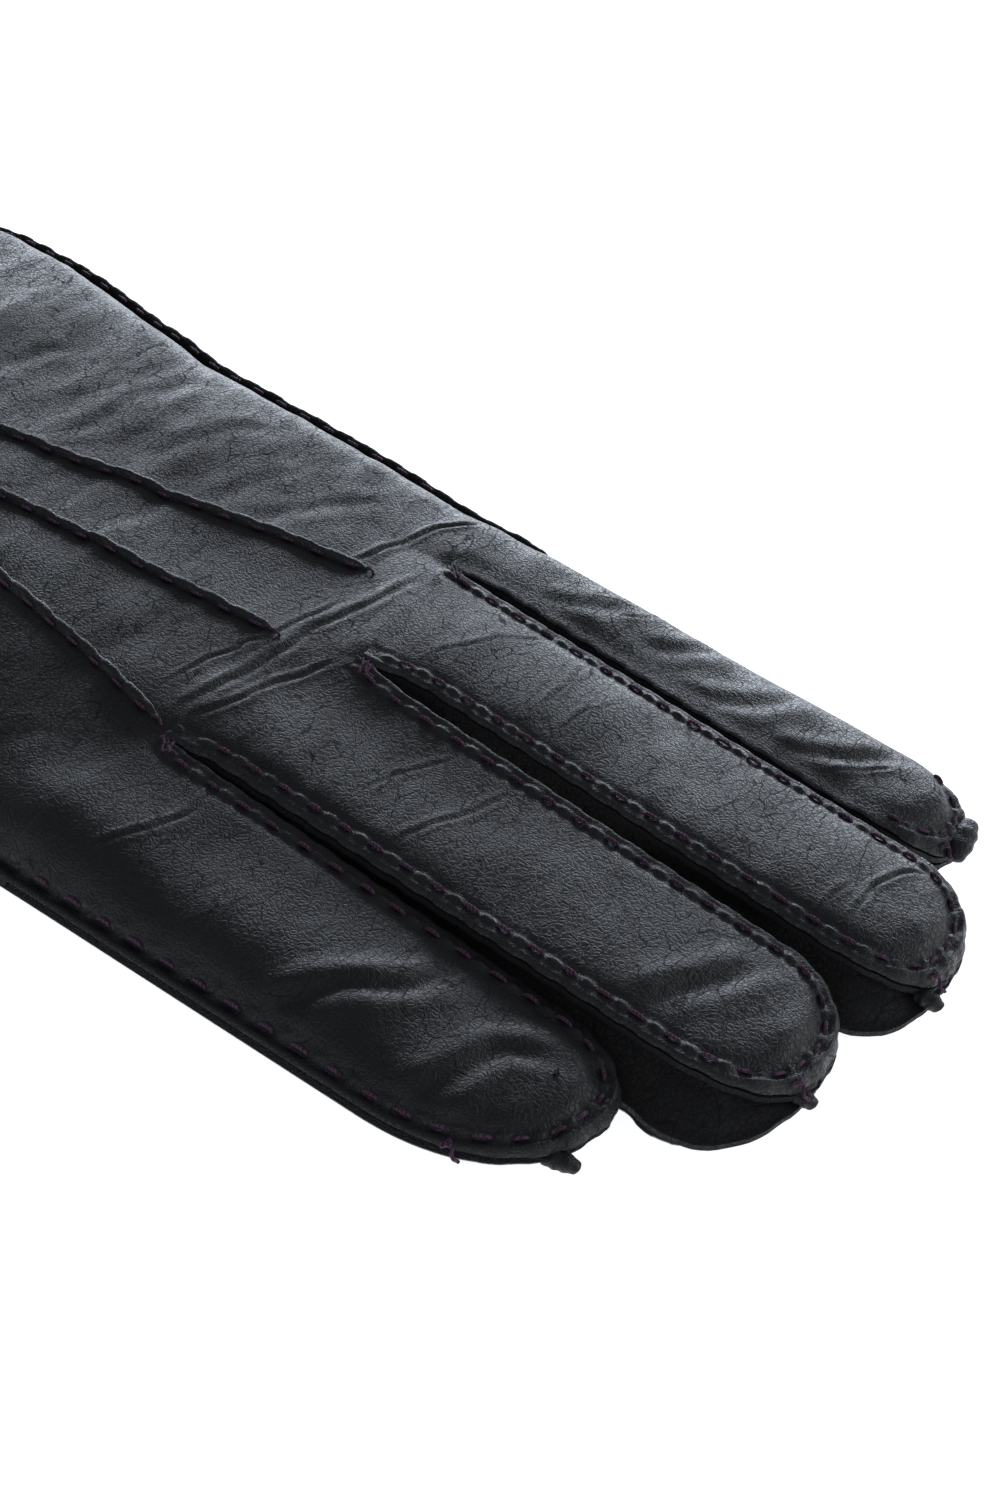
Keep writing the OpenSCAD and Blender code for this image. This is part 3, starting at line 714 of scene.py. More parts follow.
def back_columns():
    span = FAR[1] - NEAR[1]
    near = np.array([0, 0.3, 0.6, 0.9, 1.2, 1.5, 1.75, 1.95, 2.15, 2.4, 2.7, 3.1, 3.6, 4.2]) / span
    far = 1 - np.array([0, 0.06, 0.2, 0.45, 0.8, 1.2, 1.7, 2.3, 3.0, 3.7])[::-1] / span
    v = [near]
    for a, b in SPANS:
        a, b = max(a, near[-1]), min(b, far[0])
        v.append(np.linspace(a, b, int((b - a) * span / 0.5) + 1)[1:])
    return even(np.concatenate(v + [far[1:]]))


def hand_back():
    v = back_columns()
    u = np.concatenate([np.linspace(0, 0.3, 34)[:-1], np.linspace(0.3, 0.82, 146)[:-1], np.linspace(0.82, 1, 78)])
    x = lerp(CUFF_X, front_x(v)[None], u[:, None])
    vv = np.broadcast_to(v, x.shape)
    y, z = hand_y(x, vv), back_height(x, vv)
    y = y - 0.16 * (1 - stitch_pull(near_run(x))) * np.clip(1 - vv * 100 / 1.2, 0, 1)
    rows = np.stack([x, y, z], -1)
    tongue = [rows[-1] + [dx, 0, dz] for dx, dz in ((0.3, -0.14), (1.4, -0.3))]
    rows = np.concatenate([rows, np.array(tongue)])
    spare = (len(rows) - 1) % 3
    return grid_shell(rows[spare:] if not spare else np.delete(rows, [2, 4][:spare], 0), LEATHER)


def palm_rows():
    """The palm's outer surface, with the vent cut up from the hem."""
    span = FAR[1] - NEAR[1]
    v_vent = 0.485
    near = np.array([0, 0.35, 0.7, 1.05, 1.4, 1.75, 2.1, 2.6, 3.2, 4.0]) / span
    far = 1 - np.array([0, 0.1, 0.35, 0.8, 1.4, 2.2, 3.2])[::-1] / span
    v = [near]
    for a, b in ((near[-1], v_vent), (v_vent, V_MI), (V_MI, far[0])):
        start = [a] if a == v_vent else []
        v.append(np.concatenate([start, np.linspace(a, b, int((b - a) * span / 0.95) + 1)[1:]]))
    v = np.concatenate(v + [far[1:]])
    slit = int(np.argmin(np.abs(v - v_vent)))
    x = lerp(CUFF_X, front_x(v)[None], np.linspace(0, 1, 170)[:, None])
    vv = np.broadcast_to(v, x.shape)
    span_x = far_edge(x) - near_edge(x)
    y = hand_y(x, vv)
    gap = 3.0 * np.clip((-118 - x) / 42, 0, 1)
    side = np.where(np.arange(len(v)) <= slit, -1, 1)
    y = y + side * gap * hill((vv - v_vent) * 100, 9)
    d, e = vv * span_x, (1 - vv) * span_x
    z = palm_height(x, y)
    z = lerp(SEAM_Z - 1.85, z, flank("fold", np.clip(d - 1.8, 0, 6), 6))
    z = fold_z(x) + (z - fold_z(x)) * flank("fold", np.minimum(e, 9), 9)
    z = z - rim(d, near_run(x)) * 0.8 - 0.35 * ease((d - 3) / 6) * ease(e / 8) * relief(x, y, True)
    z = np.maximum(z, 0.04)
    return np.stack([x, y, z], -1), slit, gap


def hand_palm():
    rows, slit, gap = palm_rows()
    n = rows.shape[1]
    tongue = [rows[-1] + [dx, 0, dz] for dx, dz in ((0.3, 0.14), (1.4, 0.3))]
    points = np.vstack([rows.reshape(-1, 3)] + tongue)
    index = np.arange(len(points)).reshape(-1, n)
    open_rows = np.concatenate([gap[:, slit] > 1e-4, [False, False]])
    index[~open_rows, slit + 1] = index[~open_rows, slit]
    faces = [quads(index[:, : slit + 1]), quads(index[:, slit + 1 :])]
    p, f = shell(points, np.vstack(faces)[:, ::-1], LEATHER)
    return p, f


# ---------------------------------------------------------------- fingers
DEPTHS = np.array([0, 0.2, 0.42, 0.66, 0.9, 1.15, 1.4, 1.65, 1.9, 2.15, 2.4, 2.7, 3.05, 3.5, 4.0, 4.6, 5.3, 6.1, 7, 8, 9, 10, 11, 11.8, 12.6]) / 12.6


def finger_rows(f, side, p, palm=False, shares=DEPTHS):
    width = np.linalg.norm(f.middle(p) - f.outline(side, p, palm), axis=-1)
    return f.skin(side, p[:, None], width[:, None] * shares[None], palm)


def stations(f, step=0.36):
    return np.concatenate([np.linspace(0, 1, int((f.length - TIP) / step))[:-1], 1 + np.linspace(0, 1, 44)])


def finger_panel(f, palm=False):
    p = stations(f, 0.36 if not palm else 0.6)
    near, far = finger_rows(f, -1, p, palm), finger_rows(f, 1, p, palm)
    rows = np.concatenate([near, far[:, ::-1][:, 1:]], 1)
    n, m = rows.shape[:2]
    index = np.arange(n * m).reshape(n, m)
    index[-1, m // 2 :] = index[-1, : m // 2 + 1][::-1]
    return rows, index


def finger_leather(f, palm=False):
    rows, index = finger_panel(f, palm)
    faces = quads(index)
    points, faces = compact(rows.reshape(-1, 3), faces if not palm else faces[:, ::-1])
    return shell(points, faces, LEATHER)


def compact(points, faces):
    used, new = np.unique(faces, return_inverse=True)
    return points[used], new.reshape(faces.shape)


def index_trank():
    """The index finger's leather, folded at the far side: back and front are one piece."""
    f = BY_NAME["index"]
    top, top_index = finger_panel(f)
    p = stations(f)
    near, far = finger_rows(f, -1, p, True), finger_rows(f, 1, p, True)
    low = np.concatenate([far, near[:, ::-1][:, 1:]], 1)
    n, m = low.shape[:2]
    low_index = np.arange(n * m).reshape(n, m) + top.shape[0] * top.shape[1]
    low_index[-1, m // 2 :] = low_index[-1, : m // 2 + 1][::-1]
    low_index[:, 0] = top_index[:, -1]
    points = np.vstack([top.reshape(-1, 3), low.reshape(-1, 3)])
    faces = np.vstack([quads(top_index), quads(low_index)])
    return shell(*compact(points, faces), LEATHER)


def fork(f, side):
    """A fourchette: its two edges lie in the welts and its wall stands between them."""
    p = np.concatenate([np.linspace(0, 1, int((f.length - TIP) / 0.9))[:-1], 1 + np.linspace(0, 0.985, 30)])
    edge, mid = f.outline(side, p), f.middle(p)
    width = np.linalg.norm(mid - edge, axis=-1)
    inward = (mid - edge) / width[:, None]
    spread = np.linalg.norm(f.outline(side, p, True) - edge, axis=-1)
    s = f.run(side, p)
    top, low = f.edge_z(side, p) - LEATHER, f.edge_z(side, p, True) + LEATHER
    tall = np.maximum(top - low, 0.5)
    lip = np.minimum(0.5, tall * 0.32)
    turn = np.minimum(0.9, tall * 0.25)
    k = np.linspace(0, 1, 9)[1:-1]
    wave = 0.35 * clouds(s / 1.0, s * 0, 9, 61)
    d = [0 * s - 0.02, 0 * s + 0.45, 0 * s + 1.1, 0 * s + 1.6]
    z = [top - lip, top - lip * 1.02, top - lip * 1.05, top - lip - turn * 0.5]
    for share in k:
        d.append(1.85 + (0.5 + wave) * np.sin(share * np.pi) + 0.25 * noise(s / 6.0, s * 0 + share * 2.2, 71))
        z.append(lerp(top - lip - turn, low + lip + turn, share))
    d += [0 * s + 1.6, 0 * s + 1.1, 0 * s + 0.45, 0 * s - 0.02]
    z += [low + lip + turn * 0.5, low + lip * 1.05, low + lip * 1.02, low + lip]
    d, z = np.array(d).T, np.array(z).T
    d = d - spread[:, None] * ease((z[:, :1] - z) / (z[:, :1] - z[:, -1:])) ** 0.8
    limit = width[:, None] * 0.8
    d = np.minimum(d, limit)
    pull = stitch_pull(s)[:, None]
    d = d - (0.16 * (1 - pull) - 0.05) * np.clip(1 - np.maximum(d, 0) / 1.2, 0, 1)
    xy = edge[:, None] + inward[:, None] * d[..., None]
    rows = np.concatenate([xy, z[..., None]], -1)
    index = np.arange(rows.shape[0] * rows.shape[1]).reshape(rows.shape[:2])
    faces = quads(index)
    if side < 0:
        faces = faces[:, ::-1]
    return shell(rows.reshape(-1, 3), faces, FORK * 0.9)


def finger_lining(f):
    """The knitted bag inside the finger."""
    p = np.concatenate([np.linspace(0.0, 1, 34)[:-1], 1 + np.linspace(0, 0.9, 10)])
    shares = np.linspace(0.36, 1, 8)
    loops = []
    floor_z = f.crest_z(p, True)[:, None] + 2.0
    for side, palm in ((-1, False), (1, False), (1, True), (-1, True)):
        rows = finger_rows(f, side, p, False, shares)
        rows[..., 2] = floor_z if palm else np.maximum(rows[..., 2] - 1.6, floor_z + 0.8)
        loops.append(rows if side < 0 and not palm or side > 0 and palm else rows[:, ::-1])
    rows = np.concatenate(loops, 1)
    n, m = rows.shape[:2]
    index = np.arange(n * m).reshape(n, m)
    faces = quads(np.hstack([index, index[:, :1]]))
    return shell(rows.reshape(-1, 3), faces, 0.5)


def stitch(path, seed=0):
    """One prick stitch: the thread comes up, lies along the seam and goes down."""
    luck = noise(np.array([seed * 1.7]), np.array([0.5]), 91)[0]
    lift = np.sin(np.linspace(0, np.pi, len(path))) ** 0.5
    path = np.array(path, float)
    path[:, 2] += -0.06 + (0.36 + 0.08 * luck) * lift
    return tube(path, THREAD_R * (0.6 + 0.3 * lift) * (1 + 0.08 * luck), 8)


def welt_stitches(f, side, palm=False):
    total = f.run(side, 0.0)
    parts = []
    for k in range(int(total / PITCH)):
        s = (k + 0.5) * PITCH + 0.25 * noise(np.array([k * 1.3]), np.array([side * 5.0]), 17)[0]
        if s + STITCH / 2 > total or (f.style[side] == "fold" and s > 12):
            break
        long = STITCH / 2 * (1 + 0.12 * noise(np.array([k * 2.1]), np.array([3.0]), 23)[0])
        p = f.at_run(side, s + np.linspace(long, -long, 8))
        path = f.skin(side, p, np.full(8, GROOVE), palm)
        if palm:
            path[:, 2] *= -1
            points, faces = stitch(path, k)
            points[:, 2] *= -1
            parts.append((points, [g[::-1] for g in faces]))
        else:
            parts.append(stitch(path, k + 3 * side))
    return parts


def loose(points, seed, radius=0.2):
    """A short length of thread that does not lie straight."""
    path = smooth_path(points, 14)
    path += 0.12 * np.stack([noise(np.arange(14) / 3.0, np.full(14, k * 3.0), seed) for k in range(3)], 1)
    return tube(path, radius, 7)


def fork_knots(f):
    """Threads bunched where a finger's far welt starts at the fork."""
    if f.name == "index":
        return []
    parts = []
    for k in range(3):
        p = f.at_run(1, f.run(1, 0.0) - np.array([0.2, 1.2, 2.2]) - 0.8 * k)
        d = np.array([0.1, 0.9 + 0.3 * k, 2.3 - 0.5 * k])
        path = f.skin(1, p, d)
        path[:, 2] += 0.14
        parts.append(loose(path, 50 + k))
    return parts


def tip_knots(f):
    """The thread's end at the fingertip."""
    at = f.skin(-1, np.array([1.8]), np.array([0.5]))[0]
    if f.name == "little":
        at = f.skin(-1, np.array([1.3]), np.array([0.4]))[0]
    way = np.append(f.along, 0)
    side = np.append(f.across, 0)
    path = [at, at + way * 0.7 + [0, 0, -0.2], at + way * 1.3 - side * 0.6 + [0, 0, -0.9], at + way * 1.9 - side * 0.2 + [0, 0, -1.5]]
    return [loose(path, 61, 0.22), loose([at - side, at + way * 0.5 - side * 0.4 + [0, 0, 0.2], at + side * 0.6], 67, 0.22)]


# ---------------------------------------------------------------- scene pieces
def on_hand(obj):
    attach(obj, "hand")


def on_finger(obj, f):
    a, b = f.corner[-1], f.corner[1]
    mid = (a + b) / 2
    way = np.array([b[1] - a[1], a[0] - b[0]])
    way = way / np.linalg.norm(way) * 16
    start, end = place([mid[0], mid[1], 2.5]), place([mid[0] + way[0], mid[1] + way[1], 2.5])
    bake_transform(obj)


on_hand(piece("hand_back_leather", *hand_back(), HIDE, "leather", ["hand_back"]))
on_hand(piece("hand_palm_leather", *hand_palm(), HIDE, "leather", ["hand_palm"]))

for f in FINGERS:
    if f.name == "index":
        on_finger(piece("index_trank_leather", *index_trank(), HIDE, "leather", ["index_trank"]), f)
    else:
        on_finger(piece(f.name + "_back_leather", *finger_leather(f), HIDE, "leather", [f.name + "_back"]), f)
        on_finger(piece(f.name + "_palm_leather", *finger_leather(f, True), HIDE, "leather", [f.name + "_palm"]), f)
    on_finger(piece(f.name + "_lining_knit", *finger_lining(f), KNIT, "lining", [f.name + "_lining"]), f)
    threads = []
    for side in (-1, 1):
        threads += [t for k, t in enumerate(welt_stitches(f, side)) if f.name != "index" or k < 3]
        if f.style[side] != "seam":
            threads += welt_stitches(f, side, True)
    threads += fork_knots(f) + tip_knots(f)
    on_finger(piece(f.name + "_stitches", *joined(threads), THREAD, "thread", [f.name + "_thread"], 80), f)

NUBS = {  # where a welt's gathered end stands out past a fingertip: start, way and size
    "little": ((58.6, -46.8, 1.9), (4.2, 1.2, 0.1), 1.3),
    "ring": ((74.6, -21.3, 3.7), (3.6, 0.6, -0.4), 1.3),
    "middle": ((79.0, 4.4, 4.1), (3.4, 0.2, -0.5), 1.4),
    "index": ((70.8, 40.0, 6.4), (1.2, -7.4, -2.4), 1.7),
}


def nub(start, way, size):
    t = np.linspace(0, 1, 25)
    path = np.array(start) + np.multiply.outer(t, way) + np.outer(np.sin(t * np.pi), [0, 0, 0.5])
    p, faces = tube(path, size * (0.3 + 0.7 * np.sin(t * np.pi) ** 0.4) * (1 + 0.05 * np.sin(t * 21)), 12)
    p[:, 2] = lerp(p[:, 2].mean(), p[:, 2], 0.7)
    return p, faces


FORKS = [
    ("index", -1, "index_fork"),
    ("middle", 1, "middle_fork_index_side"),
    ("middle", -1, "middle_fork_ring_side"),
    ("ring", 1, "ring_fork_middle_side"),
    ("ring", -1, "ring_fork_little_side"),
    ("little", 1, "little_fork"),
]
for name, side, node in FORKS:
    f = BY_NAME[name]
    # The fourchette walls get the leather that is darkened as painted shade.
    on_finger(piece(node + "_leather", *fork(f, side), SHADE_DARKENED_LEATHER, "fork_leather", [node]), f)

for f in FINGERS:
    on_finger(piece(f.name + "_tip_fold", *nub(*NUBS[f.name]), HIDE, "leather", []), f)


# ---------------------------------------------------------------- points, seams and hem on the hand
def hand_skin(x, y):
    """Heights of the back leather under (x, y) on the hand."""
    x, y = np.asarray(x, float), np.asarray(y, float)
    v = (y - near_edge(x)) / (far_edge(x) - near_edge(x))
    return back_height(x, v)


POINTS = [((-12.4, -24.9), -11), ((-12.3, -2.0), 0.6), ((-12.2, 18.6), 9)]


def point_ridge(start, turn, seed):
    """A pinched-up line of leather with prick stitches along its foot."""
    n = 190
    s = np.linspace(0, 84, n)
    a = math.radians(180 + turn)
    bow = 0.9 * np.sin(s / 84 * np.pi) * (1 if turn > 0 else -1)
    x = start[0] + s * math.cos(a) - bow * math.sin(a)
    y = start[1] + s * math.sin(a) + bow * math.cos(a) + 0.18 * noise(s / 5.0, s * 0, seed)
    z = hand_skin(x, y)
    z = np.convolve(np.pad(z, 4, mode="edge"), np.ones(9) / 9, "valid")
    end = ease(s / 2.2) * ease((84 - s) / 6)
    pull = stitch_pull(s)
    tall = (1.0 - 0.16 * pull) * (0.25 + 0.75 * end)
    wide = (0.48 - 0.07 * pull + 0.05 * noise(s / 3.0, s * 0, seed + 2)) * (0.45 + 0.55 * end)
    loop = np.array([(-1.15, -1.0), (-1.1, 0.1), (-1.02, 0.6), (-0.82, 0.9), (-0.4, 1.0), (0.1, 1.03), (0.6, 1.0), (0.98, 0.85),
                     (1.25, 0.45), (1.7, 0.05), (2.4, -0.35), (2.4, -1.0)])
    section = np.stack([wide[:, None] * loop[:, 0], tall[:, None] * loop[:, 1]], -1)
    lean = 0.25 * np.clip(section[..., 1], 0, 3)
    section[..., 0] += lean
    path = np.stack([x, y, z], 1)
    along, left, up = across(path)
    # The path runs towards the cuff, so its left is the near side.
    ridge = sweep(path, -left, up, section[:, ::-1])
    parts = []
    for k in range(17):
        sk = (k + 0.5) * PITCH + 0.2 * noise(np.array([k * 1.9]), np.array([1.0]), seed + 5)[0]
        i = np.interp(sk + np.linspace(-0.9, 0.9, 7), s, np.arange(n))
        j = i.astype(int)
        base = path[j] + (path[np.minimum(j + 1, n - 1)] - path[j]) * (i - j)[:, None]
        lift = np.sin(np.linspace(0, np.pi, 7))
        line = base + left[j] * (0.5 + 0.12 * lift)[:, None] + up[j] * (0.34 + 0.08 * lift)[:, None]
        parts.append(tube(line, 0.17 + 0.04 * lift, 7))
    return ridge, parts


ridges, ticks = [], []
for i, (start, turn) in enumerate(POINTS):
    ridge, parts = point_ridge(start, turn, 30 + 9 * i)
    ridges.append(ridge)
    ticks += parts
    tail = smooth_path([(start[0] - 0.5, start[1], 0), (start[0] + 0.7, start[1] - 0.2, 0.35), (start[0] + 1.3, start[1] - 0.4, -0.1)], 8)
    tail[:, 2] += hand_skin(tail[:, 0], tail[:, 1]) + 0.1
    ticks.append(tube(tail, 0.2))
on_hand(piece("back_points_ridges", *joined(ridges), HIDE, "leather", ["back_points"], 60))
on_hand(piece("points_stitches", *joined(ticks), THREAD, "thread", ["points_thread"], 80))


def near_seam_stitches():
    parts = []
    total = BY_NAME["little"].run(-1, 0.0)
    k0 = int(total / PITCH) + 1
    for k in range(k0, k0 + 31):
        s = (k + 0.5) * PITCH
        x = NEAR[0] - (s + np.linspace(-1, 1, 7) * STITCH / 2 - total)
        if x.min() < CUFF_X + 2 or x.max() > NEAR[0]:
            continue
        y = near_edge(x) + GROOVE
        parts.append(stitch(np.stack([x, y, hand_skin(x, y)], 1), k))
    return parts


on_hand(piece("side_seam_stitches", *joined(near_seam_stitches()), THREAD, "thread", ["side_seam_thread"], 80))


def hem_stitches():
    parts = []
    for k in range(19):
        y = -41 + k * 4.6 + np.linspace(-1, 1, 7) * STITCH / 2
        x = np.full(7, -151.0) + 0.1 * noise(np.array([k * 1.0]), np.array([0.0]), 5)[0]
        parts.append(stitch(np.stack([x, y, hand_skin(x, y)], 1), k))
    return parts


on_hand(piece("hem_stitches", *joined(hem_stitches()), THREAD, "thread", ["hem_thread"], 80))


def bag(xs, inset, thick, gap, count=60):
    """A bag inside the hand, inset from its outer surface and kept gap millimetres clear of its edges."""
    loops = []
    for x in xs:
        span = far_edge(x) - near_edge(x)
        v = lerp(gap[0] / span, 1 - gap[1] / span, 0.5 - 0.5 * np.cos(np.linspace(0, 1, count) * np.pi))
        xx, y = np.full(count, x), hand_y(x, v)
        top, low = back_height(xx, v) - inset, palm_height(xx, y) + inset
        ends = np.minimum(v - v[0], v[-1] - v) * span / 5
        full = np.sqrt(np.clip(1 - (1 - np.minimum(ends, 1)) ** 2, 0.004, 1))
        mid = (top + low) / 2
        tall = np.maximum(top - low, 0.4) / 2 * full
        loops.append(np.vstack([np.stack([xx, y, mid + tall], 1), np.stack([xx, y, mid - tall], 1)[::-1]]))
    loops = np.array(loops)
    index = np.arange(loops.shape[0] * loops.shape[1]).reshape(loops.shape[:2])
    faces = quads(np.hstack([index, index[:, :1]]))
    return shell(loops.reshape(-1, 3), faces, thick)


on_hand(piece("hand_lining_knit", *bag(np.linspace(-149, -14, 70), 1.5, 0.5, (4.6, 3.2)), KNIT, "lining", ["hand_lining"]))
on_hand(piece("cuff_facing_leather", *bag(np.linspace(-160.3, -147, 12), 1.0, 0.5, (3.4, 2.2)), HIDE, "leather", ["cuff_facing"]))


# ---------------------------------------------------------------- the thumb and its standing seam
THUMB_BASE, THUMB_TIP = np.array([-97.0, 42.0]), np.array([-24.0, 36.5])


def thumb_outline(n=260):
    """The thumb's outline from above: a round base, a straight near side and a rounded tip."""
    base = [THUMB_BASE + 13 * np.array([math.cos(a), math.sin(a)]) for a in np.linspace(math.radians(120), math.radians(262), 12)]
    near = [(-70, 27.2), (-45, 25.8), (-28, 25.4)]
    tip = [(-17, 27.5), (-10.8, 32.5), (-9.2, 38.0), (-11.5, 43.5), (-17, 47.2)]
    xs = (-26, -40, -55, -70, -84)
    far = [(x, float(far_edge(x)) + 1.2) for x in xs]
    loop = base + [np.array(q, float) for q in near + tip + far]
    loop = np.array(loop + loop[:1])
    return smooth_path(loop, n + 1)[:-1]


def thumb_leather():
    edge = thumb_outline()
    share = np.clip((edge[:, 0] + 94) / 66, 0, 1)
    mid = lerp(THUMB_BASE, THUMB_TIP + [-2, 0], share[:, None])
    r = 1 - np.cos(np.linspace(0, 1, 17) * np.pi / 2)
    r[0] = 0
    top_z = np.interp(edge[:, 0], [-100, -30, -9], [8.1, 7.2, 5.2])
    rows = []
    for low in (False, True):
        layers = []
        for k, q in enumerate(r):
            xy = lerp(edge, mid, q)
            x = xy[:, 0]
            tz = np.interp(x, [-100, -30, -9], [8.05, 7.3, 5.6])
            zmid = tz * 0.5
            rise = (1 - (1 - q) ** 2.6) ** 0.5
            fold = 0.25 * clouds(x * 1.3, xy[:, 1], 11, 77 if low else 78) * min(1, q * 3)
            z = zmid - (zmid - 0.25) * rise - fold * 0.6 if low else zmid + (tz - zmid) * rise + np.minimum(fold, 0)
            layers.append(np.concatenate([xy, np.maximum(z, 0.05)[:, None]], 1))
        rows.append(layers)
    loops = rows[0][::-1] + rows[1][1:]
    points = np.array(loops)
    n, m = points.shape[:2]
    index = np.arange(n * m).reshape(n, m)
    faces = quads(np.hstack([index, index[:, :1]]))
    return points.reshape(-1, 3), clean(faces)


thumb = piece("thumb_leather_case", *thumb_leather(), HIDE, "leather", ["thumb_leather"])
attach(thumb, "thumb")


def brow(x):
    """The height of the far fold's skyline: half of y plus five sixths of z, at its greatest."""
    v = np.linspace(0.75, 1, 60)
    xx = np.broadcast_to(np.asarray(x, float)[:, None], (len(x), 60))
    vv = np.broadcast_to(v, xx.shape)
    rise = 0.5 * hand_y(xx, vv) + 0.83 * back_height(xx, vv)
    best = rise.max(1)
    return np.convolve(np.pad(best, 6, mode="edge"), np.ones(13) / 13, "valid")


def standing_seam(x0, x1, foot, taper0, taper1):
    """Two leather edges stitched together and standing outside the far fold."""
    n = int((x1 - x0) / 0.45)
    x = np.linspace(x0, x1, n)
    y = np.where(x < FAR[0], far_edge(x), FAR[1] - 0.05 * (x - FAR[0])) + 1.0
    level = brow(np.minimum(x, -6.5)) - 0.07 * np.clip(x + 6.5, 0, 30) - 2.2 * ease((x + 3) / 6) ** 2
    s = x - x0
    pull = stitch_pull(s)
    show = 0.8 * (ease((x - x0) / taper0) if taper0 else 1) * (0.15 + 0.85 * ease((x1 - x) / taper1) if taper1 else 1)
    top = (level + show - 0.12 * pull + 0.1 * noise(x / 3.0, x * 0, 12) - 0.5 * y) / 0.83
    low = np.minimum(foot(x), top - 1.2)
    half = 0.62 - 0.08 * pull
    loop = np.array([(-1, 0), (-1, 0.35), (-1, 0.7), (-0.98, 0.9), (-0.7, 0.985), (-0.12, 1.0), (-0.05, 0.955), (0.02, 1.0), (0.65, 0.985), (0.96, 0.9), (1, 0.7), (1, 0.35), (1, 0)])
    height = top - low
    section = np.stack([half[:, None] * loop[:, 0], height[:, None] * loop[:, 1]], -1)
    section[..., 0] += 0.1 * section[..., 1] * (loop[:, 1] > 0.5) - 0.3
    path = np.stack([x, y, low], 1)
    flat = path.copy()
    flat[:, 2] = 0
    along, left, up = across(flat)
    seam = sweep(path, left, up, section)
    parts = []
    for k in range(int((x1 - x0) / PITCH)):
        sk = (k + 0.5) * PITCH
        i = np.clip(np.interp(sk + np.linspace(-1, 1, 7) * 0.95, s, np.arange(n)), 0, n - 1)
        j = i.astype(int)
        lift = np.sin(np.linspace(0, np.pi, 7))
        yy = y[j] - 0.95 - 0.1 * lift
        zz = (level[j] + np.minimum(0.75, show[j] * 0.4) - 0.5 * yy) / 0.83
        if show[j].min() < 0.5:
            continue
        parts.append(tube(np.stack([x[j] + (i - j) * (x[1] - x[0]), yy, zz], 1), 0.2 + 0.05 * lift, 7))
    return seam, parts


seam, seam_thread = standing_seam(-132.0, 2.0, lambda x: fold_z(np.minimum(x, -6)) - 1.0, 10, 34)
# The standing welt gets the leather that is darkened as painted shade.
on_hand(piece("thumb_hole_welt_leather", *seam, SHADE_DARKENED_LEATHER, "fork_leather", ["thumb_hole_welt"], 60))
on_hand(piece("thumb_hole_stitches", *joined(seam_thread), THREAD, "thread", [], 80))


def thumb_seam():
    """The thumb's own seam, standing out round its edge from the hinge to the tip and back."""
    edge = thumb_outline(600)
    edge = edge[edge[:, 0] > -90]
    s = np.concatenate([[0], np.cumsum(np.linalg.norm(np.diff(edge, axis=0), axis=1))])
    edge = np.stack([np.interp(np.arange(0, s[-1], 0.45), s, edge[:, k]) for k in (0, 1)], 1)
    s = np.arange(len(edge)) * 0.45
    z = np.interp(edge[:, 0], [-100, -30, -9], [8.05, 7.3, 5.6]) * 0.5
    path = np.stack([edge[:, 0], edge[:, 1], z], 1)
    along, left, up = across(path)
    pull = stitch_pull(s)
    ends = ease(s / 6) * ease((s[-1] - s) / 6)
    loop = np.array([(0.9, -0.6), (0.9, 0.6), (-0.7, 0.58), (-1.02, 0.4), (-1.12, 0.0), (-1.02, -0.4), (-0.7, -0.58)])
    size = np.stack([(1.0 - 0.1 * pull) * (0.2 + 0.8 * ends), 1 - 0.22 * pull], 1)
    ridge = sweep(path, left, up, loop[None] * size[:, None])
    parts = []
    for face in (-1, 1):
        for k in range(2, int(s[-1] / PITCH) - 1):
            i = np.interp((k + 0.5) * PITCH + np.linspace(-0.95, 0.95, 7), s, np.arange(len(s))).astype(int)
            lift = np.sin(np.linspace(0, np.pi, 7))
            parts.append(tube(path[i] - left[i] * 0.3 + up[i] * face * (0.42 + 0.12 * lift)[:, None], 0.2 + 0.05 * lift, 7))
    return ridge, parts


ridge, ridge_thread = thumb_seam()
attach(piece("thumb_seam_welt", *ridge, HIDE, "leather", [], 60), "thumb")
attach(piece("thumb_seam_stitches", *joined(ridge_thread), THREAD, "thread", ["thumb_thread"], 80), "thumb")


def thumb_lining():
    p, faces = thumb_leather()
    centre = np.array([-58.0, 38.0, 4.0])
    return centre + (p - centre) * [0.94, 0.84, 0.66], faces


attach(piece("thumb_lining_knit", *thumb_lining(), KNIT, "lining", ["thumb_lining"]), "thumb")


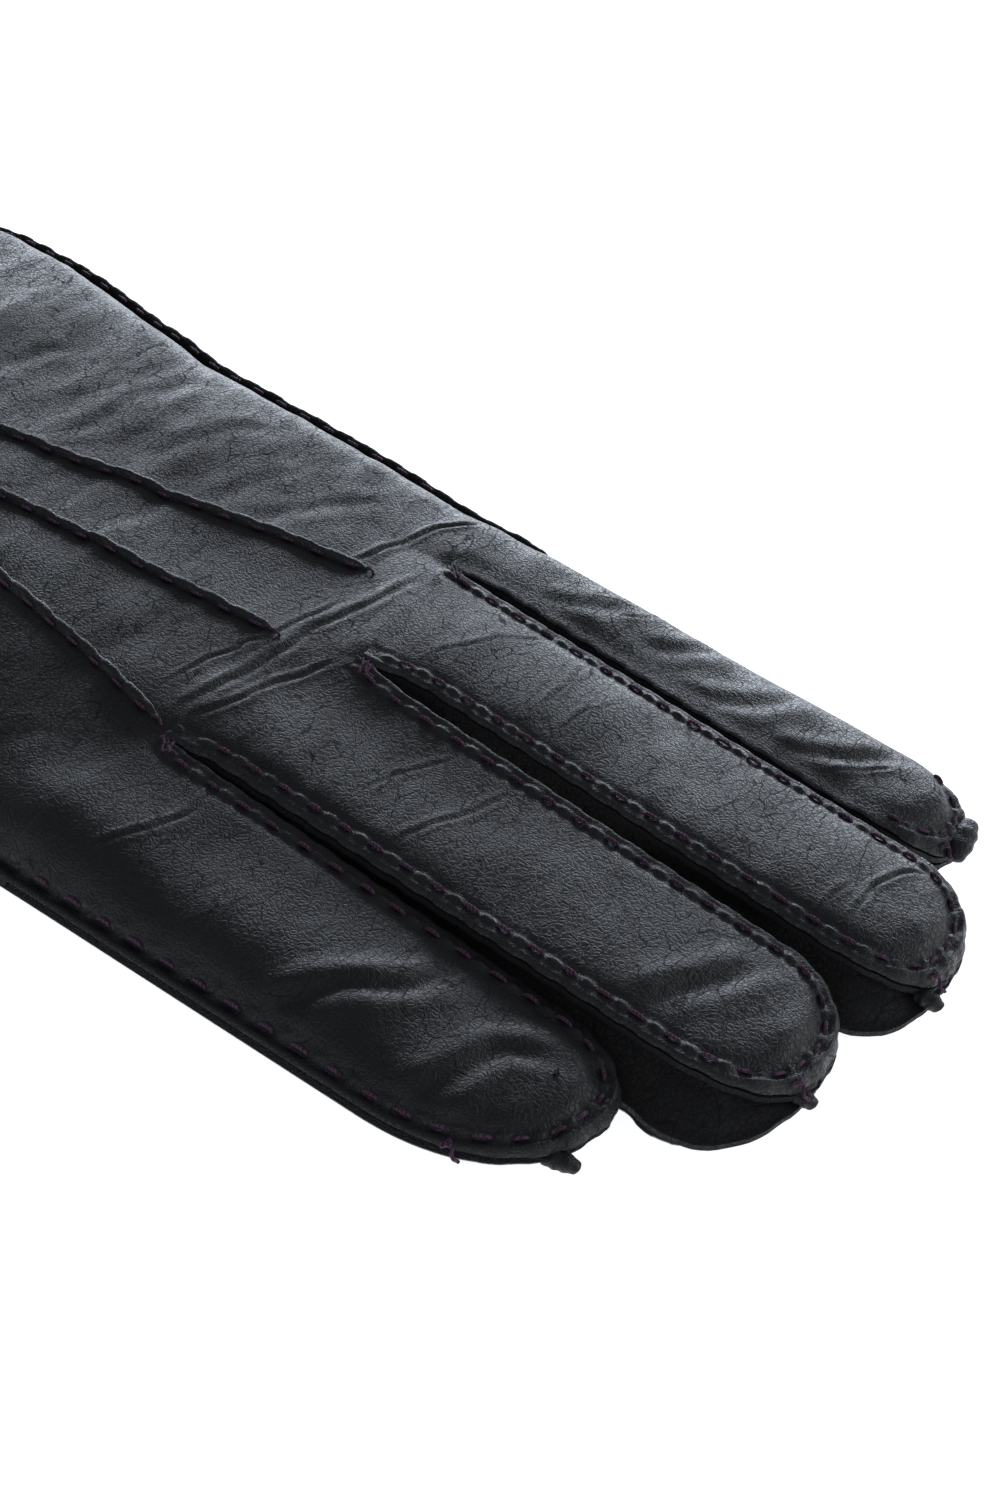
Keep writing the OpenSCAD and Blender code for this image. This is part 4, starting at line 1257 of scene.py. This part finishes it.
# ---------------------------------------------------------------- stage, light and camera
def floor():
    mesh = bpy.data.meshes.new("floor")
    mesh.from_pydata([(-30, -30, FLOOR_Z), (30, -30, FLOOR_Z), (30, 30, FLOOR_Z), (-30, 30, FLOOR_Z)], [], [(0, 1, 2, 3)])
    obj = bpy.data.objects.new("floor", mesh)
    bpy.context.scene.collection.objects.link(obj)
    m, tree, shader, mm = blank("pale_floor", Specular_IOR_Level=0.2, Roughness=0.9)
    mottle = wire(tree, "ShaderNodeTexNoise", Vector=mm, Scale=0.01, Detail=2.0).outputs["Fac"]
    tone = wire(tree, "ShaderNodeMix", _data_type="RGBA", Factor=mottle)
    tone.inputs["A"].default_value, tone.inputs["B"].default_value = (0.9, 0.915, 0.93, 1), (0.93, 0.935, 0.945, 1)
    tree.links.new(tone.outputs["Result"], shader.inputs["Base Color"])
    shader.inputs["Emission Color"].default_value = (0.95, 0.975, 1, 1)
    shader.inputs["Emission Strength"].default_value = 0.93
    # Seen from under the table the floor is clear, so that the palm can be looked at.
    under = wire(tree, "ShaderNodeNewGeometry").outputs["Backfacing"]
    clear = wire(tree, "ShaderNodeBsdfTransparent").outputs[0]
    both = wire(tree, "ShaderNodeMixShader", i0=under, i1=shader.outputs[0], i2=clear).outputs[0]
    tree.links.new(both, tree.nodes["Material Output"].inputs["Surface"])
    mesh.materials.append(m)
    obj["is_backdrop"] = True


floor()


def soft_light(name, size, power, where, target, colour):
    lamp = bpy.data.lights.new(name, "AREA")
    lamp.shape, lamp.size, lamp.size_y = "RECTANGLE", size[0], size[1]
    lamp.energy, lamp.color = power, colour
    obj = bpy.data.objects.new(name, lamp)
    bpy.context.scene.collection.objects.link(obj)
    where, target = np.array(where, float), np.array(target, float)
    back = (where - target) / np.linalg.norm(where - target)
    side = np.cross([0, 0, 1.0], back) if abs(back[2]) < 0.999 else np.array([1.0, 0, 0])
    side /= np.linalg.norm(side)
    up = np.cross(back, side)
    m = Matrix.Identity(4)
    for k in range(3):
        m[k][0], m[k][1], m[k][2], m[k][3] = side[k], up[k], back[k], where[k]
    obj.matrix_world = m
    obj.visible_camera = False


soft_light("far_panel", (0.8, 0.26), 4.9, (-0.25, 0.63, 0.155), (0, 0, 0), (0.82, 0.89, 1.0))

soft_light("near_fill", (1.6, 0.9), 2.5, (0.25, -1.1, 0.7), (0, 0, 0), (0.9, 0.94, 1.0))
soft_light("fingertip_fill", (1.2, 0.7), 4.0, (0.95, 0.75, 0.62), (0, 0, 0), (0.9, 0.94, 1.0))

world = bpy.data.worlds.new("studio")
bpy.context.scene.world = world
world.use_nodes = True
world.node_tree.nodes["Background"].inputs["Color"].default_value = (0.93, 0.96, 1, 1)
world.node_tree.nodes["Background"].inputs["Strength"].default_value = 0.19

bpy.context.scene.view_settings.view_transform = "Standard"


def camera(azimuth, elevation, roll, distance, target, lens):
    a, e, r = (math.radians(k) for k in (azimuth, elevation, roll))
    back = np.array([math.sin(a) * math.cos(e), -math.cos(a) * math.cos(e), math.sin(e)])
    right = np.cross(-back, [0, 0, 1.0])
    right /= np.linalg.norm(right)
    up = np.cross(right, -back)
    x = right * math.cos(r) + up * math.sin(r)
    y = -right * math.sin(r) + up * math.cos(r)
    data = bpy.data.cameras.new("camera")
    data.lens, data.sensor_width = lens, 36.0
    data.clip_start = 0.01
    obj = bpy.data.objects.new("camera", data)
    bpy.context.scene.collection.objects.link(obj)
    where = place(target) + back * distance / 1000
    m = Matrix.Identity(4)
    for k in range(3):
        m[k][0], m[k][1], m[k][2], m[k][3] = x[k], y[k], back[k], where[k]
    obj.matrix_world = m
    bpy.context.scene.camera = obj


camera(26.2, 33.9, 11.4, 296, (17.0, 9.5, 5.0), 55.15)

box_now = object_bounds()
plain = lambda box: [[float(v) for v in corner] for corner in box]
{"cad": plain(cad_bounds), "visual": plain(box_now)}
